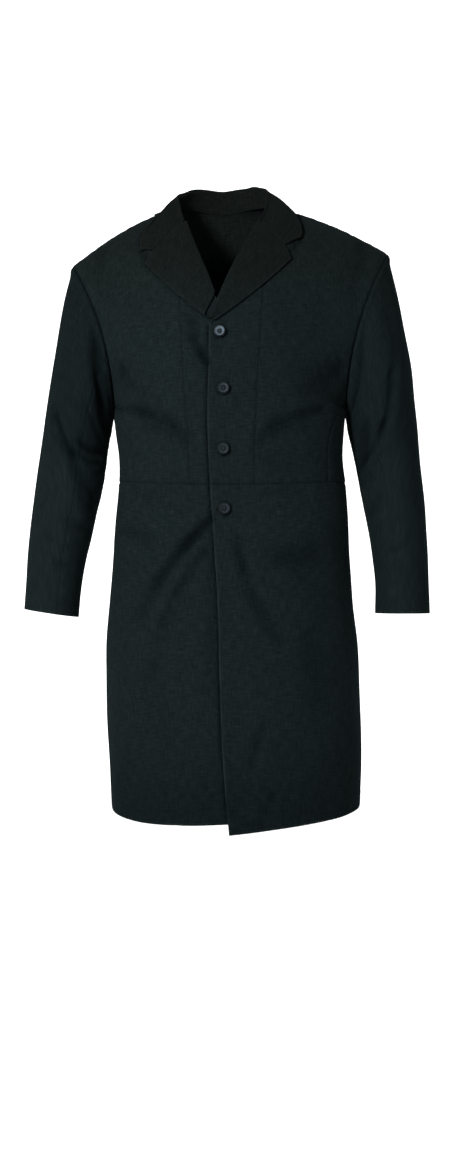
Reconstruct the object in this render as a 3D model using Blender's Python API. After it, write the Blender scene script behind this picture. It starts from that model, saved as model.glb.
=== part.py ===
"""Frock coat in its worn form: thin cloth walls cut and seamed as a tailor makes it.

Metres, +Z up. The front faces -Y and +X is the wearer's left. The origin is at the nape,
on the seam between the back and the collar. The bodice and skirts share one surface,
worked out from rows of body sections, and each panel is a stretch of it.
"""
import functools
import math

import bpy
import numpy as np
from mathutils import Vector
from mathutils.bvhtree import BVHTree

# ---- driving sizes ------------------------------------------------------------------
CLOTH = 0.0016            # thickness of the coat cloth
SEAM_GAP = 0.0003         # space between two pieces that are sewn together
UNDERLAP_CLEAR = 0.0010   # space between the two fronts where they lap
BUTTON_DIAMETER = 0.0200
BUTTON_HEIGHT = 0.0042
CLOTH_COLOUR = (0.0110, 0.0165, 0.0170, 1.0)
BUTTON_COLOUR = (0.0100, 0.0105, 0.0115, 1.0)

RIGHT, LEFT = -1, 1       # the wearer's sides; RIGHT lies at -X
SIDE_NAMES = {RIGHT: "right", LEFT: "left"}
WAIST, ARMPIT, SIDE_TOP, NECK, SHOULDER, HEM = 0.0, 3.0, 4.0, 10.0, 11.0, -8.0

# ---- body sections ------------------------------------------------------------------
# A row runs from the middle of the front or back out to the side or the armhole.
# turn is how far round the side it goes, square how boxy it is.
SECTION_COLUMNS = ("level", "front_x", "front_y", "front_z", "front_turn",
                   "back_x", "back_y", "back_z", "back_turn", "square")
SECTIONS = (
    (11.0, -0.011, -0.058, 0.008, 30, -0.012, -0.058, 0.008, 30, 1.00),
    (10.0, -0.011, -0.088, -0.014, 38, -0.012, -0.026, 0.010, 40, 1.00),
    (9.0, -0.012, -0.124, -0.042, 46, -0.012, -0.003, 0.000, 50, 1.00),
    (8.0, -0.012, -0.155, -0.078, 53, -0.011, 0.015, -0.032, 58, 1.00),
    (7.0, -0.013, -0.181, -0.118, 60, -0.010, 0.029, -0.075, 64, 0.98),
    (6.0, -0.013, -0.202, -0.163, 67, -0.008, 0.038, -0.122, 70, 0.96),
    (5.0, -0.012, -0.217, -0.212, 74, -0.006, 0.043, -0.174, 76, 0.93),
    (4.0, -0.012, -0.226, -0.263, 82, -0.004, 0.043, -0.230, 83, 0.90),
    (3.0, -0.011, -0.230, -0.315, 90, -0.002, 0.038, -0.290, 90, 0.87),
    (2.0, -0.010, -0.230, -0.365, 90, 0.000, 0.030, -0.347, 90, 0.85),
    (1.0, -0.009, -0.227, -0.414, 90, 0.002, 0.020, -0.403, 90, 0.84),
    (0.0, -0.008, -0.224, -0.462, 90, 0.003, 0.014, -0.456, 90, 0.83),
    (-1.0, -0.006, -0.229, 0.0, 90, 0.003, 0.022, 0.0, 90, 0.83),
    (-2.0, -0.004, -0.238, 0.0, 90, 0.004, 0.034, 0.0, 90, 0.83),
    (-3.0, -0.002, -0.245, 0.0, 90, 0.005, 0.044, 0.0, 90, 0.83),
    (-4.0, 0.000, -0.250, 0.0, 90, 0.006, 0.051, 0.0, 90, 0.82),
    (-5.0, 0.002, -0.254, 0.0, 90, 0.007, 0.057, 0.0, 90, 0.82),
    (-6.0, 0.004, -0.257, 0.0, 90, 0.008, 0.062, 0.0, 90, 0.82),
    (-7.0, 0.006, -0.260, 0.0, 90, 0.009, 0.067, 0.0, 90, 0.82),
    (-8.0, 0.008, -0.262, 0.0, 90, 0.010, 0.071, 0.0, 90, 0.82),
)
# The side line below the armholes: distance out on each side, its depth and height.
SIDE_COLUMNS = ("level", "right", "left", "depth", "height")
SIDES = (
    (3.0, 0.1885, 0.1880, -0.086, -0.334),
    (2.0, 0.1850, 0.1850, -0.090, -0.372),
    (1.0, 0.1800, 0.1825, -0.094, -0.413),
    (0.0, 0.1797, 0.1862, -0.098, -0.454),
    (-1.0, 0.1850, 0.1915, -0.097, 0.0),
    (-2.0, 0.1893, 0.1938, -0.096, 0.0),
    (-3.0, 0.1948, 0.1985, -0.095, 0.0),
    (-4.0, 0.2000, 0.2060, -0.094, 0.0),
    (-5.0, 0.2000, 0.2090, -0.093, 0.0),
    (-6.0, 0.1982, 0.2112, -0.092, 0.0),
    (-7.0, 0.1950, 0.2120, -0.091, 0.0),
    (-8.0, 0.1915, 0.2105, -0.090, 0.0),
)
# Height of the hem, from the middle of the front round to the middle of the back.
HEM_COLUMNS = ("around", "right", "left")
HEMS = (
    (-0.10, -0.986, -1.006),
    (0.00, -0.987, -1.003),
    (0.25, -0.990, -0.994),
    (0.60, -0.988, -0.983),
    (0.85, -0.979, -0.975),
    (1.00, -0.967, -0.970),
    (1.40, -0.965, -0.967),
    (2.10, -0.968, -0.970),
)

# ---- seams and edges on the bodice, as distance across at a height ----------------------
LINE_COLUMNS = ("height", "right", "left")
FRONT_EDGE = (
    (-1.010, 0.021, -0.001),
    (-0.905, 0.018, -0.010),
    (-0.765, 0.015, -0.016),
    (-0.630, 0.013, -0.020),
    (-0.518, 0.012, -0.0275),
    (-0.462, 0.012, -0.0310),
    (-0.352, 0.011, -0.0350),
    (-0.274, 0.010, -0.0335),
    (-0.215, 0.008, -0.0325),
)
ROLL_LINE = (
    (-0.212, 0.006, -0.0322),
    (-0.200, -0.004, -0.0290),
    (-0.174, -0.019, -0.0180),
    (-0.126, -0.038, 0.0020),
    (-0.059, -0.0640, 0.0350),
    (-0.030, -0.0740, 0.0490),
    (-0.012, -0.0850, 0.0610),
    (0.010, -0.0900, 0.0660),
)
PRINCESS_SEAM = (
    (-0.462, -0.0625, 0.0375),
    (-0.390, -0.0665, 0.0390),
    (-0.271, -0.0745, 0.0450),
    (-0.190, -0.0785, 0.0500),
    (-0.120, -0.0810, 0.0560),
    (-0.060, -0.0830, 0.0615),
    (-0.020, -0.0880, 0.0655),
    (0.010, -0.0930, 0.0700),
)
# Share of a row from the middle to the side at which each side seam lies.
SIDE_SEAM_COLUMNS = ("level", "front", "back")
SIDE_SEAMS = (
    (0.0, 0.640, 0.560),
    (1.0, 0.650, 0.590),
    (2.0, 0.680, 0.660),
    (3.0, 0.790, 0.800),
    (4.0, 1.000, 1.000),
)

# ---- sleeves: rings from the armhole to the cuff ---------------------------------------
# Each ring leans from its outer point to its inner one; bow draws its middle inward.
RING_COLUMNS = ("ring", "outer_x", "outer_z", "inner_x", "inner_z",
                "front_y", "middle_y", "back_y", "bow")
SLEEVE_RINGS = {
    RIGHT: (
        (0, 0.2565, -0.100, 0.1885, -0.334, -0.150, -0.072, 0.002, 0.018),
        (1, 0.2680, -0.149, 0.1900, -0.351, -0.158, -0.075, 0.009, 0.011),
        (2, 0.2775, -0.201, 0.1925, -0.367, -0.163, -0.076, 0.012, 0.005),
        (3, 0.2865, -0.256, 0.1955, -0.386, -0.165, -0.077, 0.011, 0.001),
        (4, 0.2950, -0.311, 0.1990, -0.410, -0.164, -0.078, 0.007, 0.000),
        (5, 0.3030, -0.364, 0.2025, -0.437, -0.161, -0.080, 0.000, 0.000),
        (6, 0.3100, -0.416, 0.2080, -0.466, -0.159, -0.084, -0.008, 0.000),
        (7, 0.3165, -0.470, 0.2150, -0.502, -0.160, -0.090, -0.019, 0.000),
        (8, 0.3230, -0.522, 0.2235, -0.540, -0.163, -0.097, -0.030, 0.000),
        (9, 0.3262, -0.566, 0.2320, -0.576, -0.168, -0.105, -0.042, 0.000),
        (10, 0.3277, -0.611, 0.2385, -0.620, -0.174, -0.114, -0.053, 0.000),
        (11, 0.3305, -0.657, 0.2430, -0.670, -0.181, -0.122, -0.063, 0.000),
    ),
    LEFT: (
        (0, 0.2573, -0.080, 0.1880, -0.334, -0.150, -0.072, 0.002, 0.018),
        (1, 0.2680, -0.130, 0.1895, -0.349, -0.158, -0.075, 0.009, 0.011),
        (2, 0.2790, -0.180, 0.1915, -0.362, -0.163, -0.076, 0.012, 0.005),
        (3, 0.2880, -0.228, 0.1945, -0.378, -0.165, -0.077, 0.011, 0.001),
        (4, 0.2958, -0.275, 0.1985, -0.400, -0.164, -0.078, 0.007, 0.000),
        (5, 0.3005, -0.325, 0.2035, -0.427, -0.161, -0.080, 0.000, 0.000),
        (6, 0.3055, -0.380, 0.2105, -0.458, -0.159, -0.084, -0.008, 0.000),
        (7, 0.3108, -0.442, 0.2175, -0.496, -0.160, -0.090, -0.019, 0.000),
        (8, 0.3165, -0.503, 0.2250, -0.538, -0.163, -0.097, -0.030, 0.000),
        (9, 0.3190, -0.557, 0.2305, -0.577, -0.168, -0.105, -0.042, 0.000),
        (10, 0.3197, -0.610, 0.2340, -0.617, -0.174, -0.114, -0.053, 0.000),
        (11, 0.3208, -0.664, 0.2335, -0.664, -0.181, -0.122, -0.063, 0.000),
    ),
}
FRONT_SLEEVE_SEAM, BACK_SLEEVE_SEAM = 108.0, 315.0   # degrees round from the outer point

# ---- folds: soft troughs in the cloth, from one end to the other -------------------------
# The columns: face, start x and z, end x and z, half width, depth.
FRONT, BACK = 1, -1
FOLDS = (
    (FRONT, -0.026, -0.520, -0.082, -0.602, 0.017, 0.0050),
    (FRONT, -0.082, -0.602, -0.130, -0.650, 0.022, 0.0035),
    (FRONT, -0.040, -0.590, -0.090, -0.700, 0.018, 0.0030),
    (FRONT, 0.018, -0.560, 0.060, -0.640, 0.018, 0.0040),
    (FRONT, 0.060, -0.640, 0.078, -0.690, 0.020, 0.0030),
    (FRONT, 0.090, -0.570, 0.170, -0.560, 0.030, 0.0040),
    (FRONT, -0.165, -0.345, -0.120, -0.350, 0.014, 0.0045),
    (FRONT, -0.120, -0.350, -0.070, -0.378, 0.016, 0.0030),
    (FRONT, 0.150, -0.355, 0.095, -0.378, 0.015, 0.0045),
    (FRONT, 0.095, -0.378, 0.045, -0.385, 0.016, 0.0030),
    (FRONT, -0.206, -0.080, -0.204, -0.150, 0.013, 0.0030),
    (FRONT, 0.213, -0.070, 0.212, -0.170, 0.013, 0.0035),
    (BACK, -0.150, -0.350, -0.050, -0.400, 0.018, 0.0045),
    (BACK, 0.155, -0.340, 0.060, -0.410, 0.018, 0.0050),
    (BACK, -0.080, -0.520, -0.150, -0.640, 0.022, 0.0040),
    (BACK, 0.070, -0.530, 0.140, -0.660, 0.022, 0.0045),
    (BACK, -0.170, -0.160, -0.120, -0.260, 0.020, 0.0035),
    (BACK, 0.175, -0.150, 0.130, -0.250, 0.020, 0.0035),
)


@functools.lru_cache(maxsize=None)
def column(table, columns, name):
    return np.array([row[columns.index(name)] for row in table], dtype=float)


def smooth(places, values, place):
    """A smooth curve through a short table, held level past its ends."""
    order = np.argsort(places)
    x, y = places[order], values[order]
    slopes = np.gradient(y, x)
    p = np.clip(place, x[0], x[-1])
    i = int(np.clip(np.searchsorted(x, p) - 1, 0, len(x) - 2))
    h = x[i + 1] - x[i]
    s = (p - x[i]) / h
    a = (1 + 2 * s) * (1 - s) ** 2
    b = s * (1 - s) ** 2
    c = s * s * (3 - 2 * s)
    d = s * s * (s - 1)
    return a * y[i] + b * h * slopes[i] + c * y[i + 1] + d * h * slopes[i + 1]


def read(table, columns, name, place):
    return smooth(column(table, columns, columns[0]), column(table, columns, name), place)


def ease(value):
    s = min(max(value, 0.0), 1.0)
    return s * s * (3 - 2 * s)


# ---- the surface of the coat ---------------------------------------------------------------
def ring_point(side, ring, turn):
    """A sleeve ring: turn 0 is its outer point, 90 the front, 180 the inner, 270 the back."""
    table = SLEEVE_RINGS[side]
    row = {name: read(table, RING_COLUMNS, name, ring) for name in RING_COLUMNS[1:]}
    c, s = math.cos(math.radians(turn)), math.sin(math.radians(turn))
    x = 0.5 * (row["outer_x"] + row["inner_x"]) + 0.5 * c * (row["outer_x"] - row["inner_x"])
    z = 0.5 * (row["outer_z"] + row["inner_z"]) + 0.5 * c * (row["outer_z"] - row["inner_z"])
    reach = row["front_y"] if s > 0 else row["back_y"]
    y = row["middle_y"] + abs(s) * (reach - row["middle_y"])
    return Vector((side * (x - row["bow"] * s * s), y, z))


def armhole_turn(level, face):
    """Degrees round the armhole at which a bodice row ends on it."""
    turn = 180.0 * (SHOULDER - level) / (SHOULDER - ARMPIT)
    return turn if face == FRONT else 360.0 - turn


def row_end(side, face, level):
    """Where a row ends: on the armhole above the armpit, on the side line below it."""
    if level >= ARMPIT:
        return ring_point(side, 0, armhole_turn(level, face))
    out = read(SIDES, SIDE_COLUMNS, SIDE_NAMES[side], level)
    depth = read(SIDES, SIDE_COLUMNS, "depth", level)
    height = read(SIDES[:4], SIDE_COLUMNS, "height", level)
    return Vector((side * out, depth, height))


def hem_height(side, face, share):
    around = share if face == FRONT else 2.0 - share
    return read(HEMS, HEM_COLUMNS, SIDE_NAMES[side], around)


def row_point(side, face, level, share):
    """The plain surface: share runs from 0 in the middle to 1 at the side or armhole."""
    name = "front" if face == FRONT else "back"
    mid = [read(SECTIONS, SECTION_COLUMNS, f"{name}_{axis}", level) for axis in "xy"]
    mid_z = read(SECTIONS[:12], SECTION_COLUMNS, f"{name}_z", level)
    turn = math.radians(read(SECTIONS, SECTION_COLUMNS, f"{name}_turn", level))
    square = read(SECTIONS, SECTION_COLUMNS, "square", level)
    end = row_end(side, face, level)
    angle = share * turn
    out = math.sin(angle) / math.sin(turn)
    far = max(math.cos(turn), 0.0) ** square
    depth = (max(math.cos(angle), 0.0) ** square - far) / (1.0 - far)
    x = mid[0] + (end.x - mid[0]) * out
    y = end.y + (mid[1] - end.y) * depth
    z = mid_z + (end.z - mid_z) * out * out
    if level < WAIST:
        z += (hem_height(side, face, share) - z) * level / HEM
    return Vector((x, y, z))


def trough(face, x, z):
    """How far the folds push the cloth in at a point seen from the front or back."""
    depth = 0.0
    for fold_face, x0, z0, x1, z1, half_width, fold_depth in FOLDS:
        if fold_face != face:
            continue
        run_x, run_z = x1 - x0, z1 - z0
        along = ((x - x0) * run_x + (z - z0) * run_z) / (run_x ** 2 + run_z ** 2)
        along = min(max(along, 0.0), 1.0)
        away = math.hypot(x - x0 - along * run_x, z - z0 - along * run_z)
        depth += fold_depth * math.exp(-((away / half_width) ** 2))
    return depth


VENT_LAP = 0.020                      # how far each side of the vent passes the middle
LAP_DEPTH = CLOTH + UNDERLAP_CLEAR + 0.0004
LAP_FLAT, LAP_FADE = 0.006, 0.045     # how far past the middle the lower layer stays sunk


def left_edge(face, level):
    """Distance across of the left piece's edge, under which the right one passes."""
    if face == BACK:
        return read(SECTIONS, SECTION_COLUMNS, "back_x", level) - VENT_LAP
    height = read(SECTIONS[:12], SECTION_COLUMNS, "front_z", level)
    height += min(level, 0.0) / HEM * (HEMS[1][2] - height)
    return read(FRONT_EDGE, LINE_COLUMNS, "left", height)


def lap_depth(side, face, level, x):
    """The right front and the right side of the back vent lie under the left ones."""
    if side == LEFT or (face == BACK and level > WAIST):
        return 0.0
    name = "front_x" if face == FRONT else "back_x"
    middle = read(SECTIONS, SECTION_COLUMNS, name, level)
    away = middle - x
    flat = max(LAP_FLAT, LAP_FLAT + middle - left_edge(face, level))
    return LAP_DEPTH * (1.0 - ease((away - flat) / LAP_FADE))


def normal_at(side, face, level, share):
    """The outward direction of the plain surface."""
    step = 0.004
    low, high = max(level - 0.05, HEM), min(level + 0.05, SHOULDER)
    near, far = share - step, min(share + step, 1.0)
    up = row_point(side, face, high, share) - row_point(side, face, low, share)
    out = row_point(side, face, level, far) - row_point(side, face, level, near)
    normal = out.cross(up) * side * face
    return normal.normalized()


def coat_point(side, face, level, share):
    """The coat's outer surface with its folds and laps, and its outward direction."""
    plain = row_point(side, face, level, share)
    normal = normal_at(side, face, level, share)
    push = -lap_depth(side, face, level, plain.x) - trough(face, plain.x, plain.z)
    if level >= ARMPIT:
        push *= ease((1.0 - share) / 0.15)
    if level >= NECK:
        push *= SHOULDER - level
    return plain + normal * push, normal


def share_on_line(side, face, level, line):
    """The share of a row at which it crosses a seam given as distance across at a height."""
    low, high = -0.4, 1.0
    for _ in range(40):
        middle = 0.5 * (low + high)
        point = row_point(side, face, level, middle)
        if side * (point.x - read(line, LINE_COLUMNS, SIDE_NAMES[side], point.z)) < 0:
            low = middle
        else:
            high = middle
    return 0.5 * (low + high)


def front_edge_share(side, level):
    """The inner edge of the front: the front edge, then the roll line, then the neck."""
    edge = FRONT_EDGE if row_point(side, FRONT, level, 0.0).z < FRONT_EDGE[-1][0] else ROLL_LINE
    return share_on_line(side, FRONT, level, edge)


def back_neck_share(side, level):
    at_shoulder = front_edge_share(side, SHOULDER)
    return at_shoulder * math.sqrt(max(level - 9.0, 0.0) / 2.0)


# ---- cloth walls -----------------------------------------------------------------------------
def cloth_material(name, colour, roughness):
    material = bpy.data.materials.new(name)
    material.use_nodes = True
    shader = material.node_tree.nodes["Principled BSDF"]
    shader.inputs["Base Color"].default_value = colour
    shader.inputs["Roughness"].default_value = roughness
    shader.inputs["Metallic"].default_value = 0.0
    material.diffuse_color = colour
    return material


RIM_ORDER = Vector((0.37, 0.21, 1.0))   # both pieces of a seam split their rims alike


def closed_wall(name, outer, inner, material):
    """A thin closed wall between two grids of points of the same size."""
    rows, columns = len(outer), len(outer[0])
    points = [p for grid in (outer, inner) for row in grid for p in row]

    def at(layer, r, c):
        return layer * rows * columns + r * columns + c

    faces = []
    for r in range(rows - 1):
        for c in range(columns - 1):
            corners = ((r, c), (r, c + 1), (r + 1, c + 1), (r + 1, c))
            faces.append([at(0, *k) for k in corners])
            faces.append([at(1, *k) for k in reversed(corners)])
    border = [(0, c) for c in range(columns)]
    border += [(r, columns - 1) for r in range(1, rows)]
    border += [(rows - 1, c) for c in range(columns - 2, -1, -1)]
    border += [(r, 0) for r in range(rows - 2, 0, -1)]
    for here, after in zip(border, border[1:] + border[:1]):
        a, b, c, d = at(0, *after), at(0, *here), at(1, *here), at(1, *after)
        if RIM_ORDER.dot(points[a]) < RIM_ORDER.dot(points[b]):
            faces += [[a, b, c], [a, c, d]]
        else:
            faces += [[b, c, d], [b, d, a]]
    mesh = bpy.data.meshes.new(name)
    mesh.from_pydata([tuple(p) for p in points], [], faces)
    mesh.update()
    volume = 0.0
    mesh.calc_loop_triangles()
    for triangle in mesh.loop_triangles:
        a, b, c = (mesh.vertices[i].co for i in triangle.vertices)
        volume += a.dot(b.cross(c))
    if volume < 0:
        mesh.flip_normals()
    mesh.materials.append(material)
    mesh.shade_smooth()
    mesh.set_sharp_from_angle(angle=math.radians(50))
    piece = bpy.data.objects.new(name, mesh)
    bpy.context.collection.objects.link(piece)
    return piece


def trim(outer, inner, sides):
    """Draw the named sides of a wall in by half a seam gap."""
    rows, columns = len(outer), len(outer[0])
    half = SEAM_GAP / 2
    pairs = []
    if "low" in sides:
        pairs += [((0, c), (1, c)) for c in range(columns)]
    if "high" in sides:
        pairs += [((rows - 1, c), (rows - 2, c)) for c in range(columns)]
    if "in" in sides:
        pairs += [((r, 0), (r, 1)) for r in range(rows)]
    if "out" in sides:
        pairs += [((r, columns - 1), (r, columns - 2)) for r in range(rows)]
    moves = []
    for (r, c), (r2, c2) in pairs:
        moves.append((r, c, (outer[r2][c2] - outer[r][c]).normalized() * half))
    for r, c, move in moves:
        outer[r][c] = outer[r][c] + move
        inner[r][c] = inner[r][c] + move


def armhole_inward(side, point):
    """From the armhole's edge towards its middle."""
    top, bottom = ring_point(side, 0, 0), ring_point(side, 0, 180)
    middle = (top + bottom) / 2 - Vector((side * 0.03, 0, 0))
    return (middle - point).normalized()


def wall_grids(places):
    """Outer and inner points of a panel from its grid of (side, face, level, share)."""
    outer, inner = [], []
    for row in places:
        outer_row, inner_row = [], []
        for side, face, level, share in row:
            point, normal = coat_point(side, face, level, share)
            if level >= SHOULDER:
                normal = Vector((side * 0.35, 0, 0.94)).normalized()
            if level >= ARMPIT and share >= 1.0:
                normal = -armhole_inward(side, point)
            if level == WAIST:
                normal = Vector((normal.x, normal.y, 0)).normalized()
            outer_row.append(point)
            inner_row.append(point - normal * CLOTH)
        outer.append(outer_row)
        inner.append(inner_row)
    return outer, inner


def spread(start, end, count):
    return [start + (end - start) * i / count for i in range(count + 1)]


LOW_ROWS = spread(WAIST, SIDE_TOP, 6)
HIGH_ROWS = [4.9, 5.8, 6.65, 7.5, 8.3, 9.0, 9.25, 9.6, NECK, 10.5, SHOULDER]
FRONT_COLUMNS, SIDE_FRONT_COLUMNS, SIDE_BODY_COLUMNS, BACK_COLUMNS = 4, 6, 8, 8


def side_seam_share(face, level):
    name = "front" if face == FRONT else "back"
    if level >= SIDE_TOP:
        return 1.0
    return read(SIDE_SEAMS, SIDE_SEAM_COLUMNS, name, level)


def front_places(side):
    rows = []
    for level in LOW_ROWS + [r for r in HIGH_ROWS if r <= NECK]:
        start = front_edge_share(side, level)
        end = share_on_line(side, FRONT, level, PRINCESS_SEAM)
        rows.append([(side, FRONT, level, s) for s in spread(start, end, FRONT_COLUMNS)])
    return rows


def side_front_places(side):
    rows = []
    for level in LOW_ROWS + HIGH_ROWS:
        if level <= NECK:
            start = share_on_line(side, FRONT, level, PRINCESS_SEAM)
        else:
            start = front_edge_share(side, level)
        end = side_seam_share(FRONT, level)
        rows.append([(side, FRONT, level, s) for s in spread(start, end, SIDE_FRONT_COLUMNS)])
    return rows


def back_places(side):
    rows = []
    for level in LOW_ROWS + HIGH_ROWS:
        start = back_neck_share(side, level)
        end = side_seam_share(BACK, level)
        rows.append([(side, BACK, level, s) for s in spread(start, end, BACK_COLUMNS)])
    return rows


def side_body_place(side, across, up):
    """The underarm piece: across runs from its front seam to its back seam."""
    face = FRONT if across <= 0.5 else BACK
    inset = 1.0 - 2.0 * across if face == FRONT else 2.0 * across - 1.0
    level = up * (ARMPIT + (SIDE_TOP - ARMPIT) * inset)
    seam = side_seam_share(face, up * SIDE_TOP)
    return (side, face, level, 1.0 - (1.0 - seam) * inset)


def side_body_places(side):
    ups = [level / SIDE_TOP for level in LOW_ROWS]
    return [[side_body_place(side, across, up) for across in spread(0, 1, SIDE_BODY_COLUMNS)]
            for up in ups]


SKIRT_ROWS = spread(WAIST, HEM, 13)


def skirt_places(side):
    """A skirt from the front edge round the side to the vent at the middle of the back."""
    front = front_places(side)[0] + side_front_places(side)[0][1:]
    body = side_body_places(side)[0][1:]
    back = list(reversed(back_places(side)[0]))[1:]
    waist = front + body + back
    rows = []
    for level in SKIRT_ROWS:
        edge = front_edge_share(side, level)
        row = []
        for _, face, _, share in waist:
            if face == FRONT:
                start = front[0][3]
                share = edge + (share - start) * (1.0 - edge) / (1.0 - start)
            row.append((side, face, level, share))
        end = row_point(side, BACK, level, 1.0).x
        middle = read(SECTIONS, SECTION_COLUMNS, "back_x", level)
        turn = math.radians(read(SECTIONS, SECTION_COLUMNS, "back_turn", level))
        lap = math.asin(-side * VENT_LAP / (end - middle)) / turn
        row.append((side, BACK, level, lap / 2))
        row.append((side, BACK, level, lap))
        rows.append(row)
    return rows


def make_bodice(side, cloth):
    name = SIDE_NAMES[side]
    panels = (
        ("front", front_places(side), ("low", "out")),
        ("side_front", side_front_places(side), ("low", "in", "out", "high")),
        ("side_body", side_body_places(side), ("low", "in", "out", "high")),
        ("back", back_places(side), ("low", "in", "out", "high")),
    )
    for label, places, seams in panels:
        outer, inner = wall_grids(places)
        trim(outer, inner, seams)
        closed_wall(f"{label}_{name}", outer, inner, cloth)


def make_skirt(side, cloth):
    outer, inner = wall_grids(skirt_places(side))
    trim(outer, inner, ("low",))
    closed_wall(f"skirt_{SIDE_NAMES[side]}", outer, inner, cloth)


# ---- sleeves ------------------------------------------------------------------------------
RING_ROWS = [0.0, 0.35, 0.8, 1.4, 2.0, 2.7, 3.4, 4.1, 4.8, 5.5, 6.2, 6.9, 7.7, 8.5, 9.3,
             10.1, 11.0]
# Folds of the sleeves: start ring and turn, end ring and turn, half sizes, depth.
SLEEVE_FOLDS = {
    RIGHT: (
        (2.2, 120, 4.6, 190, 0.55, 26, 0.0050),
        (3.4, 100, 5.4, 150, 0.45, 22, 0.0035),
        (5.0, 40, 6.6, 130, 0.40, 20, 0.0040),
        (6.6, 140, 7.3, 200, 0.55, 28, 0.0060),
        (2.5, 240, 4.8, 200, 0.50, 26, 0.0045),
        (5.6, 300, 6.8, 220, 0.45, 22, 0.0040),
        (8.6, 60, 8.9, 120, 0.35, 20, 0.0020),
    ),
    LEFT: (
        (1.6, 60, 4.8, 80, 0.50, 20, 0.0045),
        (4.8, 80, 5.6, 140, 0.50, 24, 0.0045),
        (5.8, 130, 6.6, 190, 0.50, 28, 0.0055),
        (2.5, 240, 4.8, 205, 0.50, 26, 0.0045),
        (5.4, 300, 6.6, 225, 0.45, 22, 0.0040),
    ),
}


def sleeve_trough(side, ring, turn):
    depth = 0.0
    for r0, t0, r1, t1, half_length, half_turn, fold_depth in SLEEVE_FOLDS[side]:
        run_r, run_t = (r1 - r0) / half_length, (t1 - t0) / half_turn
        off_r, off_t = (ring - r0) / half_length, (turn - t0) / half_turn
        along = (off_r * run_r + off_t * run_t) / (run_r ** 2 + run_t ** 2)
        along = min(max(along, 0.0), 1.0)
        away = math.hypot(off_r - along * run_r, off_t - along * run_t)
        depth += fold_depth * math.exp(-away ** 2)
    return depth * ease(ring / 1.5)


def sleeve_point(side, ring, turn):
    """The sleeve's outer surface and its outward direction."""
    low, high = max(ring - 0.05, 0.0), min(ring + 0.05, 11.0)
    down = ring_point(side, high, turn) - ring_point(side, low, turn)
    round_ = ring_point(side, ring, turn + 1.0) - ring_point(side, ring, turn - 1.0)
    normal = (round_.cross(down) * side).normalized()
    plain = ring_point(side, ring, turn)
    return plain - normal * sleeve_trough(side, ring, turn), normal


def armhole_turns():
    """The turns at which the bodice's points lie round the armhole."""
    front = [armhole_turn(level, FRONT) for level in reversed(HIGH_ROWS)]
    under = spread(armhole_turn(SIDE_TOP, FRONT), armhole_turn(SIDE_TOP, BACK), SIDE_BODY_COLUMNS)
    back = [armhole_turn(level, BACK) for level in HIGH_ROWS]
    return front + under + back


def sleeve_grid(side, turns):
    outer, inner = [], []
    middle_top, middle_low = ring_point(side, 0, 0), ring_point(side, 0, 180)
    lean = (middle_top - middle_low).normalized()
    away = Vector((side * abs(lean.z), 0, -abs(lean.x)))
    for ring in RING_ROWS:
        outer_row, inner_row = [], []
        for turn in turns:
            point, normal = sleeve_point(side, ring, turn)
            if ring == 0.0:
                normal = -armhole_inward(side, point)
                point = point + away * SEAM_GAP / 2
            outer_row.append(point)
            inner_row.append(point - normal * CLOTH)
        outer.append(outer_row)
        inner.append(inner_row)
    return outer, inner


def make_sleeve(side, cloth):
    """Two pieces: the top sleeve over the outer side, the under sleeve next to the body."""
    turns = armhole_turns()
    front_seam = min(turns, key=lambda t: abs(t - FRONT_SLEEVE_SEAM))
    back_seam = min(turns, key=lambda t: abs(t - BACK_SLEEVE_SEAM))
    under = [t for t in turns if front_seam <= t <= back_seam]
    top = [t - 360.0 for t in turns if t >= back_seam and t < 360.0]
    top += [t for t in turns if t <= front_seam]
    for label, part_turns in (("top", top), ("under", under)):
        outer, inner = sleeve_grid(side, part_turns)
        trim(outer, inner, ("in", "out"))
        closed_wall(f"{label}_sleeve_{SIDE_NAMES[side]}", outer, inner, cloth)


# ---- lapels -------------------------------------------------------------------------------
# Corners of the turned-back part, as distance across and height.
LAPEL_CORNERS = {
    RIGHT: {"roll_top": -0.0368, "roll_low": -0.163, "corner": (-0.1346, -0.1069),
            "low": (-0.0400, -0.1960)},
    LEFT: {"roll_top": -0.0348, "roll_low": -0.203, "corner": (0.0975, -0.1005),
           "low": (-0.0235, -0.2060)},
}
LAPEL_BOW = 0.003         # how far the outer edge swells past a straight line
# The turn of the cloth over the roll line: distance in from it, then the height of the
# visible and the hidden face over the coat.
ROLL_PROFILE = (
    (-0.0005, -0.0016, 0.0000),
    (-0.0032, -0.0006, 0.0006),
    (-0.0043, 0.0022, 0.0020),
    (-0.0026, 0.0050, 0.0032),
    (0.0030, 0.0058, 0.0042),
)
ROLL_HIDDEN_IN = (0.0, 0.0014, 0.0018, 0.0012, 0.0)
LAPEL_SHARES = (0.20, 0.42, 0.66, 0.84, 1.0)
LAPEL_HEIGHTS = (0.0056, 0.0048, 0.0040, 0.0036, 0.0033)


def locate(side, face, x, z):
    """Level and share of the surface point with the given distance across and height."""
    level = 8.0 if face == FRONT else 9.0
    share, step = 0.4, 0.002
    for _ in range(12):
        here = row_point(side, face, level, share)
        by_level = (row_point(side, face, min(level + step, SHOULDER), share) - here)
        if level + step > SHOULDER:
            by_level = here - row_point(side, face, level - step, share)
        by_share = row_point(side, face, level, share + step) - here
        a, b = by_level.x / step, by_share.x / step
        c, d = by_level.z / step, by_share.z / step
        wide = a * d - b * c
        off_x, off_z = x - here.x, z - here.z
        level += max(min((off_x * d - b * off_z) / wide, 1.0), -1.0)
        share += max(min((a * off_z - off_x * c) / wide, 0.3), -0.3)
        level, share = min(level, SHOULDER), min(share, 0.99)
    return level, share


def over_coat(side, face, x, z, height):
    """A point over the coat and the outward direction there."""
    level, share = locate(side, face, x, z)
    point, normal = coat_point(side, face, level, share)
    return point + normal * height, normal


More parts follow.
